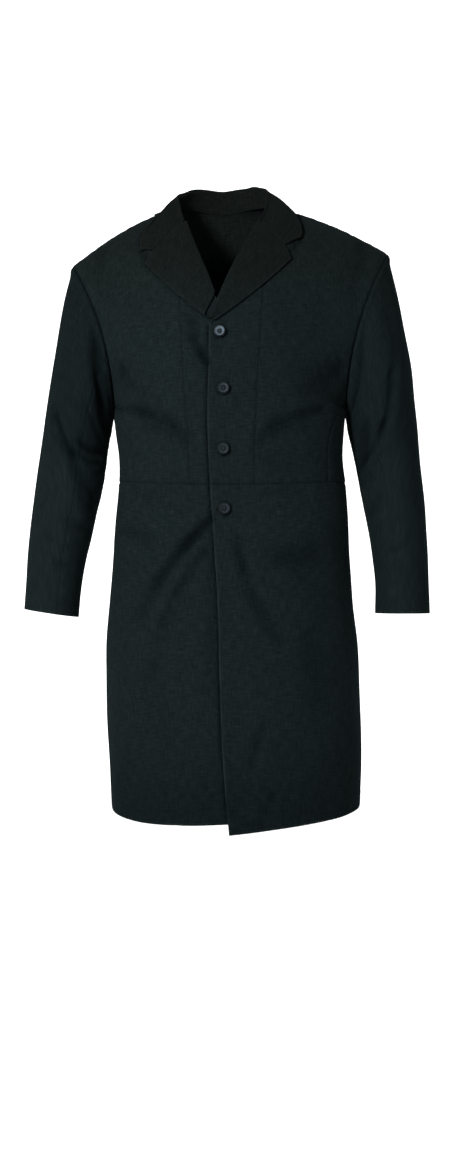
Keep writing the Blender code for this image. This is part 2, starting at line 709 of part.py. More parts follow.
def roll_edge(side):
    """The front's inner edge above the waist as it is cut: points and outward directions."""
    levels = LOW_ROWS + [r for r in HIGH_ROWS if r <= NECK]
    return [coat_point(side, FRONT, level, front_edge_share(side, level)) for level in levels]


def on_edge(edge, height):
    """The point of that edge at a height, with its outward direction."""
    heights = [point.z for point, _ in edge]
    k = int(np.clip(np.searchsorted(heights, height) - 1, 0, len(edge) - 2))
    s = (height - heights[k]) / (heights[k + 1] - heights[k])
    return edge[k][0].lerp(edge[k + 1][0], s), edge[k][1].lerp(edge[k + 1][1], s).normalized()


def make_lapel(side, cloth):
    shape = LAPEL_CORNERS[side]
    edge = roll_edge(side)
    corner, low = shape["corner"], shape["low"]
    count = 10
    outer, inner = [], []
    for row in range(count + 1):
        v = row / count
        roll_z = shape["roll_low"] + (shape["roll_top"] - shape["roll_low"]) * v
        roll, normal = on_edge(edge, roll_z)
        bow = LAPEL_BOW * 4 * v * (1 - v)
        edge_x = low[0] + (corner[0] - low[0]) * v + side * bow
        edge_z = low[1] + (corner[1] - low[1]) * v - bow
        toward = over_coat(side, FRONT, roll.x + 0.1 * (edge_x - roll.x),
                           roll_z + 0.1 * (edge_z - roll_z), 0.0)[0] - roll
        toward.normalize()
        outer_row = [roll + toward * a + normal * h for a, h, _ in ROLL_PROFILE]
        inner_row = [roll + toward * (a + more) + normal * h
                     for (a, _, h), more in zip(ROLL_PROFILE, ROLL_HIDDEN_IN)]
        for share, height in zip(LAPEL_SHARES, LAPEL_HEIGHTS):
            x = roll.x + (edge_x - roll.x) * share
            z = roll_z + (edge_z - roll_z) * share
            point, up = over_coat(side, FRONT, x, z, height)
            outer_row.append(point)
            inner_row.append(point - up * CLOTH)
        outer.append(outer_row)
        inner.append(inner_row)
    closed_wall(f"lapel_{SIDE_NAMES[side]}", outer, inner, cloth)


# ---- collar -------------------------------------------------------------------------------
# Stations round the neck from the gorge to the middle of the back: the bodice row where the
# stand is sewn on, how far in and up the fold lies, and the outer edge of the fall.
# The columns: station, seam face, seam level, fold in, fold up, edge face, edge x, edge z.
COLLAR = {
    RIGHT: (
        (0, FRONT, 9.50, 0.000, 0.0056, FRONT, -0.1418, -0.0852),
        (1, FRONT, 10.0, 0.002, 0.0110, FRONT, -0.1430, -0.0690),
        (2, FRONT, 10.5, 0.004, 0.0200, FRONT, -0.1405, -0.0530),
        (3, BACK, 11.0, 0.005, 0.0270, FRONT, -0.1290, -0.0310),
        (4, BACK, 10.5, 0.006, 0.0290, BACK, -0.1210, -0.0300),
        (5, BACK, 10.0, 0.006, 0.0310, BACK, -0.1020, -0.0300),
        (6, BACK, 9.6, 0.007, 0.0330, BACK, -0.0760, -0.0295),
        (7, BACK, 9.25, 0.008, 0.0345, BACK, -0.0450, -0.0280),
        (8, BACK, 9.0, 0.008, 0.0350, BACK, -0.0120, -0.0270),
    ),
    LEFT: (
        (0, FRONT, 9.50, 0.000, 0.0056, FRONT, 0.1125, -0.0640),
        (1, FRONT, 10.0, 0.002, 0.0105, FRONT, 0.1145, -0.0530),
        (2, FRONT, 10.5, 0.004, 0.0200, FRONT, 0.1125, -0.0370),
        (3, BACK, 11.0, 0.005, 0.0270, FRONT, 0.1030, -0.0160),
        (4, BACK, 10.5, 0.006, 0.0305, BACK, 0.0950, -0.0180),
        (5, BACK, 10.0, 0.006, 0.0335, BACK, 0.0750, -0.0220),
        (6, BACK, 9.6, 0.007, 0.0330, BACK, 0.0500, -0.0250),
        (7, BACK, 9.25, 0.008, 0.0345, BACK, 0.0200, -0.0270),
        (8, BACK, 9.0, 0.008, 0.0350, BACK, -0.0120, -0.0270),
    ),
}
NOTCH = {RIGHT: (-0.1215, -0.0845), LEFT: (0.0865, -0.0765)}
NECK_MIDDLE = Vector((-0.012, -0.075, 0.0))
FOLD_GAP = 0.0020         # space inside the folded collar
FALL_LIFT = 0.0042        # space between the fall and the coat
FALL_SWELL = 0.0036       # how much further it stands off over the shoulder
FALL_START = 5            # the first point of a station that lies over the coat
COLLAR_STEPS = 3          # columns from one station to the next


def collar_station(side, row):
    """Visible and hidden points across the band at one station, from the seam to the edge."""
    _, seam_face, level, fold_in, fold_up, edge_face, edge_x, edge_z = row
    on_front = seam_face == FRONT
    share = front_edge_share(side, level) if on_front else back_neck_share(side, level)
    seam, normal = coat_point(side, seam_face, level, share)
    gorge = ease(row[0] / 2.5)
    inward = (NECK_MIDDLE - seam)
    inward.z = 0.0
    inward.normalize()
    rise = normal.lerp(Vector((0, 0, 1)), gorge).normalized()
    outward = (-inward).lerp(Vector((side * 0.8, -0.2, -0.55)), 1.0 - gorge).normalized()
    fold = seam + rise * fold_up + inward * fold_in
    width = 2 * CLOTH + FOLD_GAP * max(gorge, 0.15)
    swell = FALL_SWELL * math.sin(math.pi * min(row[0], 7) / 7)
    edge, up = over_coat(side, edge_face, edge_x, edge_z, CLOTH + FALL_LIFT + swell)
    over = fold + outward * width - rise * width * 0.5
    middle = (over + edge) / 2
    if row[0] == 0:
        middle = over_coat(side, FRONT, *NOTCH[side], CLOTH + FALL_LIFT)[0]
    foot = seam + rise * SEAM_GAP * 2 - outward * 0.0004
    visible = [foot, foot.lerp(fold, 0.5), fold - rise * width * 0.4,
               fold + outward * width * 0.3 + rise * 0.0004, over,
               over.lerp(middle, 0.5) + up * swell, middle + up * swell,
               middle.lerp(edge, 0.5) + up * swell * 0.6, edge]
    lean = [outward, outward, outward, (outward - rise).normalized(), -outward,
            -up, -up, -up, -up]
    hidden = [v + d * CLOTH for v, d in zip(visible, lean)]
    return visible, hidden


def coat_tree():
    """The outer faces of the panels under the collar, to measure how far it stands off."""
    points, faces = [], []
    for label in ("front", "side_front", "back"):
        for side_name in SIDE_NAMES.values():
            mesh = bpy.data.objects[f"{label}_{side_name}"].data
            start, outer_count = len(points), len(mesh.vertices) // 2
            points += [v.co.copy() for v in mesh.vertices]
            faces += [[start + i for i in face.vertices] for face in mesh.polygons
                      if max(face.vertices) < outer_count]
    return BVHTree.FromPolygons(points, faces)


def stand_off(tree, point, clear):
    """The move that brings a point clear of the panels."""
    near, normal, _, _ = tree.find_nearest(point)
    height = (point - near).dot(normal)
    return normal * max(clear - height, 0.0)


def make_collar(cloth):
    """One folded band round the neck, from the right gorge seam to the left one."""
    right = [collar_station(RIGHT, row) for row in COLLAR[RIGHT]]
    left = [collar_station(LEFT, row) for row in COLLAR[LEFT]]
    stations = right + left[:-1][::-1]
    places = np.arange(len(stations), dtype=float)
    outer, inner = [], []
    for place in spread(0, len(stations) - 1, COLLAR_STEPS * (len(stations) - 1)):
        for grid, layer in ((outer, 0), (inner, 1)):
            row = []
            for k in range(len(stations[0][layer])):
                axes = [np.array([st[layer][k][axis] for st in stations]) for axis in range(3)]
                curve = smooth if k else lambda x, y, place: float(np.interp(place, x, y))
                row.append(Vector([curve(places, values, place) for values in axes]))
            grid.append(row)
    tree = coat_tree()
    for visible, hidden in zip(outer, inner):
        for k in range(FALL_START, len(visible)):
            move = stand_off(tree, hidden[k], FALL_LIFT)
            visible[k], hidden[k] = visible[k] + move, hidden[k] + move
    closed_wall("collar", outer, inner, cloth)


# ---- buttons ------------------------------------------------------------------------------
BUTTON_PLACES = ((-0.0165, -0.2240), (-0.0110, -0.3130), (-0.0107, -0.4065), (-0.0092, -0.5000))
BUTTON_SIDES, HOLE_SIDES = 22, 8
BUTTON_PROFILE = (                    # share of the radius, share of the height
    (0.00, 0.42), (0.42, 0.42), (0.60, 0.62), (0.74, 0.95), (0.86, 1.00), (0.97, 0.80),
    (1.00, 0.50), (0.92, 0.18), (0.70, 0.00), (0.00, 0.00),
)
HOLE_DIAMETER, HOLE_OFFSET = 0.0020, 0.0019


def turned(name, profile, sides):
    """A closed round solid about Z from (radius, height) pairs, ends on the axis."""
    points = [(0.0, 0.0, profile[0][1])]
    for radius, height in profile[1:-1]:
        for k in range(sides):
            turn = 2 * math.pi * k / sides
            points.append((radius * math.cos(turn), radius * math.sin(turn), height))
    points.append((0.0, 0.0, profile[-1][1]))
    rings, last = len(profile) - 2, len(points) - 1
    faces = [[0, 1 + k, 1 + (k + 1) % sides] for k in range(sides)]
    for ring in range(rings - 1):
        base = 1 + ring * sides
        for k in range(sides):
            after = (k + 1) % sides
            faces.append([base + k, base + sides + k, base + sides + after, base + after])
    base = 1 + (rings - 1) * sides
    faces += [[last, base + (k + 1) % sides, base + k] for k in range(sides)]
    mesh = bpy.data.meshes.new(name)
    mesh.from_pydata(points, [], faces)
    piece = bpy.data.objects.new(name, mesh)
    bpy.context.collection.objects.link(piece)
    return piece


def make_button(number, x, z, material):
    """A dished four-hole button with a raised rim, flat on the left front."""
    point, normal = over_coat(LEFT, FRONT, x, z, 0.0)
    radius = BUTTON_DIAMETER / 2
    profile = [(r * radius, h * BUTTON_HEIGHT) for r, h in BUTTON_PROFILE]
    button = turned(f"button_{number}", profile, BUTTON_SIDES)
    button.data.materials.append(material)
    hole_radius = HOLE_DIAMETER / 2
    tall = [(0, 2 * BUTTON_HEIGHT), (hole_radius, 2 * BUTTON_HEIGHT),
            (hole_radius, -BUTTON_HEIGHT), (0, -BUTTON_HEIGHT)]
    frame = normal.to_track_quat("Z", "Y")
    rest = point + normal * (SEAM_GAP + 0.0004)
    button.location = rest
    button.rotation_mode = "QUATERNION"
    button.rotation_quaternion = frame
    for k in range(4):
        hole = turned(f"button_{number}_hole_{k + 1}", tall, HOLE_SIDES)
        turn = math.radians(45 + 90 * k)
        hole.location = (HOLE_OFFSET * math.cos(turn), HOLE_OFFSET * math.sin(turn), 0)
        hole.parent = button
        hole.hide_render = True
        hole.display_type = "WIRE"
        cut = button.modifiers.new(f"hole_{k + 1}", "BOOLEAN")
        cut.operation = "DIFFERENCE"
        cut.solver = "EXACT"
        cut.object = hole
    button.data.shade_smooth()
    button.data.set_sharp_from_angle(angle=math.radians(40))


def main():
    for item in list(bpy.data.objects):
        bpy.data.objects.remove(item, do_unlink=True)
    cloth = cloth_material("coat_cloth", CLOTH_COLOUR, 0.85)
    for side in (RIGHT, LEFT):
        make_bodice(side, cloth)
        make_skirt(side, cloth)
        make_sleeve(side, cloth)
        make_lapel(side, cloth)
    make_collar(cloth)
    horn = cloth_material("button_horn", BUTTON_COLOUR, 0.35)
    for number, (x, z) in enumerate(BUTTON_PLACES, start=1):
        make_button(number, x, z, horn)


main()
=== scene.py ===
"""Frock coat: the fine cloth, seams, stitches, buttons, lights and camera round the fixed frame."""

import math

import bpy
import numpy as np
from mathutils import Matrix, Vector
from mathutils.bvhtree import BVHTree


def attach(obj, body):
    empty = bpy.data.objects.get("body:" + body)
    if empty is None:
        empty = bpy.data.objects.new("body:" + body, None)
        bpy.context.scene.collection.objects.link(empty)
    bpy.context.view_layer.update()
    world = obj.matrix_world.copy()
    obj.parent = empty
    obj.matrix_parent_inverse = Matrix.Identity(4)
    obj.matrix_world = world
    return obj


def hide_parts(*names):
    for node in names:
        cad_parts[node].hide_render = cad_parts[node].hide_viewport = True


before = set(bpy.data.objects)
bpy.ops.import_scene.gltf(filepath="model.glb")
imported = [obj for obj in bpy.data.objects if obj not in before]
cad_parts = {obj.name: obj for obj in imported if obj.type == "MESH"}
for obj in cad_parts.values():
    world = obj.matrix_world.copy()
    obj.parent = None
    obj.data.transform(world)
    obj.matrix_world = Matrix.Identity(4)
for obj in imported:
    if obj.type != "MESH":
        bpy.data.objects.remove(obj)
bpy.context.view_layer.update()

# ---- sizes, in metres, as the construction has them --------------------------------------
CLOTH = 0.0016
SEAM_TUCK = 0.00012       # how far sewn edges reach past their seam
RIGHT, LEFT = -1, 1
SIDE_NAMES = {RIGHT: "right", LEFT: "left"}
FRONT, BACK = 1, -1
WAIST, ARMPIT, SIDE_TOP, NECK, SHOULDER, HEM = 0.0, 3.0, 4.0, 10.0, 11.0, -8.0
BODY = "root"
CELL = 0.0042             # side of a cell of the fine cloth
FINE = "_cloth"           # ending of the names of the fine pieces


def between(y, slopes, i, h, s):
    """The smooth curve's value a share s of the way along its step i, which is h long."""
    return ((1 + 2 * s) * (1 - s) ** 2 * y[i] + s * (1 - s) ** 2 * h * slopes[i]
            + s * s * (3 - 2 * s) * y[i + 1] + s * s * (s - 1) * h * slopes[i + 1])


class Table:
    """A short table with named columns, read as smooth curves of its first column."""

    def __init__(self, names, rows):
        data = np.array(sorted(rows), dtype=float)
        self.x = data[:, 0]
        self.curves = {}
        for k, name in enumerate(names.split()[1:], start=1):
            self.curves[name] = (data[:, k], np.gradient(data[:, k], self.x))

    def __call__(self, name, place):
        y, slopes = self.curves[name]
        p = np.clip(place, self.x[0], self.x[-1])
        i = np.clip(np.searchsorted(self.x, p) - 1, 0, len(self.x) - 2)
        h = self.x[i + 1] - self.x[i]
        return between(y, slopes, i, h, (p - self.x[i]) / h)


# ---- the construction's tables -----------------------------------------------------------
# Rows of the body from the middle of the front or back out to the side or the armhole.
SECTION_ROWS = (
    (11.0, -0.011, -0.058, 0.008, 30, -0.012, -0.058, 0.008, 30, 1.00),
    (10.0, -0.011, -0.088, -0.014, 38, -0.012, -0.026, 0.010, 40, 1.00),
    (9.0, -0.012, -0.124, -0.042, 46, -0.012, -0.003, 0.000, 50, 1.00),
    (8.0, -0.012, -0.155, -0.078, 53, -0.011, 0.015, -0.032, 58, 1.00),
    (7.0, -0.013, -0.181, -0.118, 60, -0.010, 0.029, -0.075, 64, 0.98),
    (6.0, -0.013, -0.202, -0.163, 67, -0.008, 0.038, -0.122, 70, 0.96),
    (5.0, -0.012, -0.217, -0.212, 74, -0.006, 0.043, -0.174, 76, 0.93),
    (4.0, -0.012, -0.226, -0.263, 82, -0.004, 0.043, -0.230, 83, 0.90),
    (3.0, -0.011, -0.230, -0.315, 90, -0.002, 0.038, -0.290, 90, 0.87),
    (2.0, -0.010, -0.230, -0.365, 90, 0.000, 0.030, -0.347, 90, 0.85),
    (1.0, -0.009, -0.227, -0.414, 90, 0.002, 0.020, -0.403, 90, 0.84),
    (0.0, -0.008, -0.224, -0.462, 90, 0.003, 0.014, -0.456, 90, 0.83),
    (-1.0, -0.006, -0.229, 0.0, 90, 0.003, 0.022, 0.0, 90, 0.83),
    (-2.0, -0.004, -0.238, 0.0, 90, 0.004, 0.034, 0.0, 90, 0.83),
    (-3.0, -0.002, -0.245, 0.0, 90, 0.005, 0.044, 0.0, 90, 0.83),
    (-4.0, 0.000, -0.250, 0.0, 90, 0.006, 0.051, 0.0, 90, 0.82),
    (-5.0, 0.002, -0.254, 0.0, 90, 0.007, 0.057, 0.0, 90, 0.82),
    (-6.0, 0.004, -0.257, 0.0, 90, 0.008, 0.062, 0.0, 90, 0.82),
    (-7.0, 0.006, -0.260, 0.0, 90, 0.009, 0.067, 0.0, 90, 0.82),
    (-8.0, 0.008, -0.262, 0.0, 90, 0.010, 0.071, 0.0, 90, 0.82),
)
SECTION_NAMES = ("level front_x front_y front_z front_turn back_x back_y back_z back_turn"
                 " square")
SECTIONS = Table(SECTION_NAMES, SECTION_ROWS)

# The side line below the armholes.
SIDE_ROWS = (
    (3.0, 0.1885, 0.1880, -0.086, -0.334),
    (2.0, 0.1850, 0.1850, -0.090, -0.372),
    (1.0, 0.1800, 0.1825, -0.094, -0.413),
    (0.0, 0.1797, 0.1862, -0.098, -0.454),
    (-1.0, 0.1850, 0.1915, -0.097, 0.0),
    (-2.0, 0.1893, 0.1938, -0.096, 0.0),
    (-3.0, 0.1948, 0.1985, -0.095, 0.0),
    (-4.0, 0.2000, 0.2060, -0.094, 0.0),
    (-5.0, 0.2000, 0.2090, -0.093, 0.0),
    (-6.0, 0.1982, 0.2112, -0.092, 0.0),
    (-7.0, 0.1950, 0.2120, -0.091, 0.0),
    (-8.0, 0.1915, 0.2105, -0.090, 0.0),
)
SIDE_LINE_NAMES = "level right left depth height"
SIDES = Table(SIDE_LINE_NAMES, SIDE_ROWS)

# Height of the hem from the middle of the front round to the middle of the back.
HEMS = Table("around right left", (
    (-0.10, -0.986, -1.006),
    (0.00, -0.987, -1.003),
    (0.25, -0.990, -0.994),
    (0.60, -0.988, -0.983),
    (0.85, -0.979, -0.975),
    (1.00, -0.967, -0.970),
    (1.40, -0.965, -0.967),
    (2.10, -0.968, -0.970),
))

# Seams and edges as distance across at a height.
FRONT_EDGE = Table("height right left", (
    (-1.010, 0.021, -0.001),
    (-0.905, 0.018, -0.010),
    (-0.765, 0.015, -0.016),
    (-0.630, 0.013, -0.020),
    (-0.518, 0.012, -0.0275),
    (-0.462, 0.012, -0.0310),
    (-0.352, 0.011, -0.0350),
    (-0.274, 0.010, -0.0335),
    (-0.215, 0.008, -0.0325),
))

ROLL_LINE = Table("height right left", (
    (-0.212, 0.006, -0.0322),
    (-0.200, -0.004, -0.0290),
    (-0.174, -0.019, -0.0180),
    (-0.126, -0.038, 0.0020),
    (-0.059, -0.0640, 0.0350),
    (-0.030, -0.0740, 0.0490),
    (-0.012, -0.0850, 0.0610),
    (0.010, -0.0900, 0.0660),
))

PRINCESS_SEAM = Table("height right left", (
    (-0.462, -0.0625, 0.0375),
    (-0.390, -0.0665, 0.0390),
    (-0.271, -0.0745, 0.0450),
    (-0.190, -0.0785, 0.0500),
    (-0.120, -0.0810, 0.0560),
    (-0.060, -0.0830, 0.0615),
    (-0.020, -0.0880, 0.0655),
    (0.010, -0.0930, 0.0700),
))

# Share of a row at which the side seams lie.
SIDE_SEAMS = Table("level front back", (
    (0.0, 0.640, 0.560),
    (1.0, 0.650, 0.590),
    (2.0, 0.680, 0.660),
    (3.0, 0.790, 0.800),
    (4.0, 1.000, 1.000),
))

# Sleeve rings from the armhole to the cuff; each leans from its outer to its inner point.
SLEEVE_RINGS = {
    RIGHT: Table("ring outer_x outer_z inner_x inner_z", (
        (0, 0.2565, -0.100, 0.1885, -0.334),
        (1, 0.2680, -0.149, 0.1900, -0.351),
        (2, 0.2775, -0.201, 0.1925, -0.367),
        (3, 0.2865, -0.256, 0.1955, -0.386),
        (4, 0.2950, -0.311, 0.1990, -0.410),
        (5, 0.3030, -0.364, 0.2025, -0.437),
        (6, 0.3100, -0.416, 0.2080, -0.466),
        (7, 0.3165, -0.470, 0.2150, -0.502),
        (8, 0.3230, -0.522, 0.2235, -0.540),
        (9, 0.3262, -0.566, 0.2320, -0.576),
        (10, 0.3277, -0.611, 0.2385, -0.620),
        (11, 0.3305, -0.657, 0.2430, -0.670),
    )),
    LEFT: Table("ring outer_x outer_z inner_x inner_z", (
        (0, 0.2573, -0.080, 0.1880, -0.334),
        (1, 0.2680, -0.130, 0.1895, -0.349),
        (2, 0.2790, -0.180, 0.1915, -0.362),
        (3, 0.2880, -0.228, 0.1945, -0.378),
        (4, 0.2958, -0.275, 0.1985, -0.400),
        (5, 0.3005, -0.325, 0.2035, -0.427),
        (6, 0.3055, -0.380, 0.2105, -0.458),
        (7, 0.3108, -0.442, 0.2175, -0.496),
        (8, 0.3165, -0.503, 0.2250, -0.538),
        (9, 0.3190, -0.557, 0.2305, -0.577),
        (10, 0.3197, -0.610, 0.2340, -0.617),
        (11, 0.3208, -0.664, 0.2335, -0.664),
    )),
}
SLEEVE_DEPTHS = Table("ring front_y middle_y back_y bow", (
    (0, -0.150, -0.072, 0.002, 0.018),
    (1, -0.158, -0.075, 0.009, 0.011),
    (2, -0.163, -0.076, 0.012, 0.005),
    (3, -0.165, -0.077, 0.011, 0.001),
    (4, -0.164, -0.078, 0.007, 0.000),
    (5, -0.161, -0.080, 0.000, 0.000),
    (6, -0.159, -0.084, -0.008, 0.000),
    (7, -0.160, -0.090, -0.019, 0.000),
    (8, -0.163, -0.097, -0.030, 0.000),
    (9, -0.168, -0.105, -0.042, 0.000),
    (10, -0.174, -0.114, -0.053, 0.000),
    (11, -0.181, -0.122, -0.063, 0.000),
))


# ---- the surface ---------------------------------------------------------------------------
SECTIONS_UP = Table(SECTION_NAMES, [row for row in SECTION_ROWS if row[0] >= WAIST])
SIDES_UP = Table(SIDE_LINE_NAMES, [row for row in SIDE_ROWS if row[0] >= WAIST])


def ease(value):
    s = np.clip(value, 0.0, 1.0)
    return s * s * (3 - 2 * s)


def vec(x, y, z):
    return np.stack(np.broadcast_arrays(x, y, z), axis=-1).astype(float)


def unit(v):
    return v / np.maximum(np.linalg.norm(v, axis=-1, keepdims=True), 1e-12)


def dot(a, b):
    return (a * b).sum(axis=-1, keepdims=True)


def ring_point(side, ring, turn):
    """A sleeve ring: turn 0 is its outer point, 90 the front, 180 the inner, 270 the back."""
    table = SLEEVE_RINGS[side]
    c, s = np.cos(np.radians(turn)), np.sin(np.radians(turn))
    outer_x, inner_x = table("outer_x", ring), table("inner_x", ring)
    outer_z, inner_z = table("outer_z", ring), table("inner_z", ring)
    bow, middle = SLEEVE_DEPTHS("bow", ring), SLEEVE_DEPTHS("middle_y", ring)
    x = 0.5 * (outer_x + inner_x) + 0.5 * c * (outer_x - inner_x) - bow * s * s
    z = 0.5 * (outer_z + inner_z) + 0.5 * c * (outer_z - inner_z)
    reach = np.where(s > 0, SLEEVE_DEPTHS("front_y", ring), SLEEVE_DEPTHS("back_y", ring))
    return vec(side * x, middle + np.abs(s) * (reach - middle), z)


def row_end(side, face, level):
    turn = 180.0 * (SHOULDER - level) / (SHOULDER - ARMPIT)
    turn = np.where(face == FRONT, turn, 360.0 - turn)
    on_armhole = ring_point(side, 0.0, turn)
    on_side = vec(side * SIDES(SIDE_NAMES[side], level), SIDES("depth", level),
                  SIDES_UP("height", level))
    return np.where((level >= ARMPIT)[..., None], on_armhole, on_side)


def row_point(side, face, level, share):
    """The plain surface for arrays of face, level and share."""
    face, level, share = np.broadcast_arrays(face, np.asarray(level, float), share)
    front = face == FRONT

    def pick(name, read=SECTIONS):
        return np.where(front, read(f"front_{name}", level), read(f"back_{name}", level))

    mid_x, mid_y = pick("x"), pick("y")
    mid_z = np.where(front, SECTIONS_UP("front_z", level), SECTIONS_UP("back_z", level))
    turn = np.radians(pick("turn"))
    square = SECTIONS("square", level)
    end = row_end(side, face, level)
    angle = share * turn
    out = np.sin(angle) / np.sin(turn)
    far = np.maximum(np.cos(turn), 0.0) ** square
    depth = (np.maximum(np.cos(angle), 0.0) ** square - far) / (1.0 - far)
    x = mid_x + (end[..., 0] - mid_x) * out
    y = end[..., 1] + (mid_y - end[..., 1]) * depth
    z = mid_z + (end[..., 2] - mid_z) * out * out
    hem = HEMS(SIDE_NAMES[side], np.where(front, share, 2.0 - share))
    z = np.where(level < WAIST, z + (hem - z) * level / HEM, z)
    return vec(x, y, z)


def row_normal(side, face, level, share):
    step = 0.004
    low, high = np.maximum(level - 0.05, HEM), np.minimum(level + 0.05, SHOULDER)
    up = row_point(side, face, high, share) - row_point(side, face, low, share)
    out = (row_point(side, face, level, np.minimum(share + step, 1.0))
           - row_point(side, face, level, share - step))
    return unit(np.cross(out, up) * side * np.asarray(face)[..., None])


def share_on_line(side, level, line):
    """The share of each front row at which it crosses a line given as distance at a height."""
    level = np.asarray(level, float)
    low, high = np.full(level.shape, -0.4), np.full(level.shape, 1.0)
    for _ in range(34):
        middle = 0.5 * (low + high)
        p = row_point(side, FRONT, level, middle)
        inside = side * (p[..., 0] - line(SIDE_NAMES[side], p[..., 2])) < 0
        low, high = np.where(inside, middle, low), np.where(inside, high, middle)
    return 0.5 * (low + high)


def front_edge_share(side, level):
    below = row_point(side, FRONT, level, 0.0)[..., 2] < FRONT_EDGE.x[-1]
    return np.where(below, share_on_line(side, level, FRONT_EDGE),
                    share_on_line(side, level, ROLL_LINE))


def back_neck_share(side, level):
    at_shoulder = front_edge_share(side, np.array(SHOULDER))
    return at_shoulder * np.sqrt(np.maximum(level - 9.0, 0.0) / 2.0)


def side_seam_share(face, level):
    name = "front" if face == FRONT else "back"
    return np.where(level >= SIDE_TOP, 1.0, SIDE_SEAMS(name, level))


def locate(side, face, x, z):
    """Level and share of the surface points with the given distance across and height."""
    x, z = np.broadcast_arrays(np.asarray(x, float), np.asarray(z, float))
    level = np.full(x.shape, 8.0 if face == FRONT else 9.0)
    share, step = np.full(x.shape, 0.4), 0.002
    for _ in range(14):
        here = row_point(side, face, level, share)
        nudge = np.where(level + step > SHOULDER, -step, step)
        by_level = (row_point(side, face, level + nudge, share) - here) / nudge[..., None]
        by_share = (row_point(side, face, level, share + step) - here) / step
        a, b = by_level[..., 0], by_share[..., 0]
        c, d = by_level[..., 2], by_share[..., 2]
        wide = a * d - b * c
        off_x, off_z = x - here[..., 0], z - here[..., 2]
        level = level + np.clip((off_x * d - b * off_z) / wide, -1.0, 1.0)
        share = share + np.clip((a * off_z - off_x * c) / wide, -0.3, 0.3)
        level, share = np.minimum(level, SHOULDER), np.minimum(share, 0.99)
    return level, share


# ---- creases -------------------------------------------------------------------------------
# Start x and z, end x and z, sideways bend, half width, depth, share of the ridge beside it.
FRONT_CREASES = (
    (-0.028, -0.516, -0.140, -0.664, 0.010, 0.0085, 0.0084, 0.6),
    (-0.036, -0.566, -0.112, -0.704, 0.009, 0.0080, 0.0046, 0.5),
    (-0.027, -0.600, -0.024, -0.800, 0.003, 0.0080, 0.0026, 0.5),
    (-0.172, -0.534, -0.112, -0.562, -0.005, 0.0085, 0.0036, 0.6),
    (0.013, -0.548, 0.078, -0.700, 0.012, 0.0090, 0.0052, 0.6),
    (0.084, -0.574, 0.180, -0.544, 0.010, 0.0200, 0.0040, 0.4),
    (0.110, -0.600, 0.165, -0.640, 0.008, 0.0200, 0.0020, 0.3),
    (0.054, -0.840, 0.032, -0.920, 0.006, 0.0070, 0.0034, 0.5),
    (0.068, -0.942, 0.054, -0.986, 0.004, 0.0060, 0.0036, 0.6),
    (-0.180, -0.338, -0.066, -0.388, -0.009, 0.0085, 0.0064, 0.5),
    (-0.130, -0.372, -0.074, -0.400, 0.000, 0.0140, 0.0034, 0.2),
    (-0.176, -0.276, -0.146, -0.312, 0.004, 0.0120, 0.0044, 0.4),
    (0.148, -0.344, 0.050, -0.390, 0.008, 0.0090, 0.0062, 0.5),
    (0.120, -0.372, 0.088, -0.384, 0.002, 0.0130, 0.0024, 0.2),
    (0.180, -0.276, 0.130, -0.316, 0.004, 0.0180, 0.0048, 0.4),
    (0.052, -0.425, 0.115, -0.430, 0.004, 0.0140, 0.0020, 0.4),
    (-0.035, -0.272, -0.060, -0.205, -0.005, 0.0075, 0.0080, 0.6),
    (-0.206, -0.080, -0.204, -0.150, 0.004, 0.0110, 0.0034, 0.5),
    (0.213, -0.070, 0.212, -0.170, 0.004, 0.0110, 0.0044, 0.5),
    (0.190, -0.090, 0.186, -0.170, 0.003, 0.0100, 0.0018, 0.3),
    (0.075, -0.240, 0.120, -0.262, 0.006, 0.0120, 0.0014, 0.3),
    (-0.100, -0.235, -0.140, -0.250, 0.006, 0.0120, 0.0014, 0.3),
    (-0.150, -0.470, -0.100, -0.480, 0.004, 0.0100, 0.0018, 0.4),
    (0.060, -0.474, 0.130, -0.468, 0.004, 0.0110, 0.0020, 0.4),
    (-0.120, -0.740, -0.100, -0.860, 0.010, 0.0200, 0.0022, 0.3),
    (0.130, -0.700, 0.120, -0.860, -0.010, 0.0220, 0.0024, 0.3),
    (-0.084, -0.988, -0.080, -0.946, 0.002, 0.0070, 0.0026, 0.5),
    (-0.150, -0.900, -0.156, -0.975, 0.004, 0.0120, 0.0022, 0.4),
    (0.150, -0.980, 0.140, -0.930, 0.004, 0.0110, 0.0020, 0.4),
)
BACK_CREASES = (
    (-0.150, -0.350, -0.050, -0.400, 0.008, 0.0130, 0.0050, 0.5),
    (0.155, -0.340, 0.060, -0.410, -0.008, 0.0140, 0.0056, 0.5),
    (-0.120, -0.400, -0.030, -0.435, 0.006, 0.0100, 0.0026, 0.4),
    (0.110, -0.405, 0.030, -0.440, -0.006, 0.0100, 0.0030, 0.4),
    (-0.080, -0.520, -0.150, -0.640, 0.010, 0.0180, 0.0042, 0.4),
    (0.070, -0.530, 0.140, -0.660, -0.010, 0.0190, 0.0046, 0.4),
    (-0.045, -0.540, -0.075, -0.700, 0.008, 0.0150, 0.0026, 0.3),
    (0.050, -0.560, 0.085, -0.730, -0.006, 0.0160, 0.0024, 0.3),
    (-0.170, -0.160, -0.120, -0.260, 0.008, 0.0160, 0.0040, 0.4),
    (0.175, -0.150, 0.130, -0.250, -0.008, 0.0160, 0.0042, 0.4),
    (-0.206, -0.090, -0.200, -0.170, 0.004, 0.0110, 0.0030, 0.4),
    (0.210, -0.080, 0.206, -0.165, 0.004, 0.0110, 0.0034, 0.4),
    (-0.060, -0.075, 0.045, -0.078, -0.008, 0.0110, 0.0018, 0.4),
    (-0.130, -0.700, -0.110, -0.880, 0.010, 0.0220, 0.0026, 0.3),
    (0.120, -0.740, 0.140, -0.900, 0.010, 0.0220, 0.0022, 0.3),
)
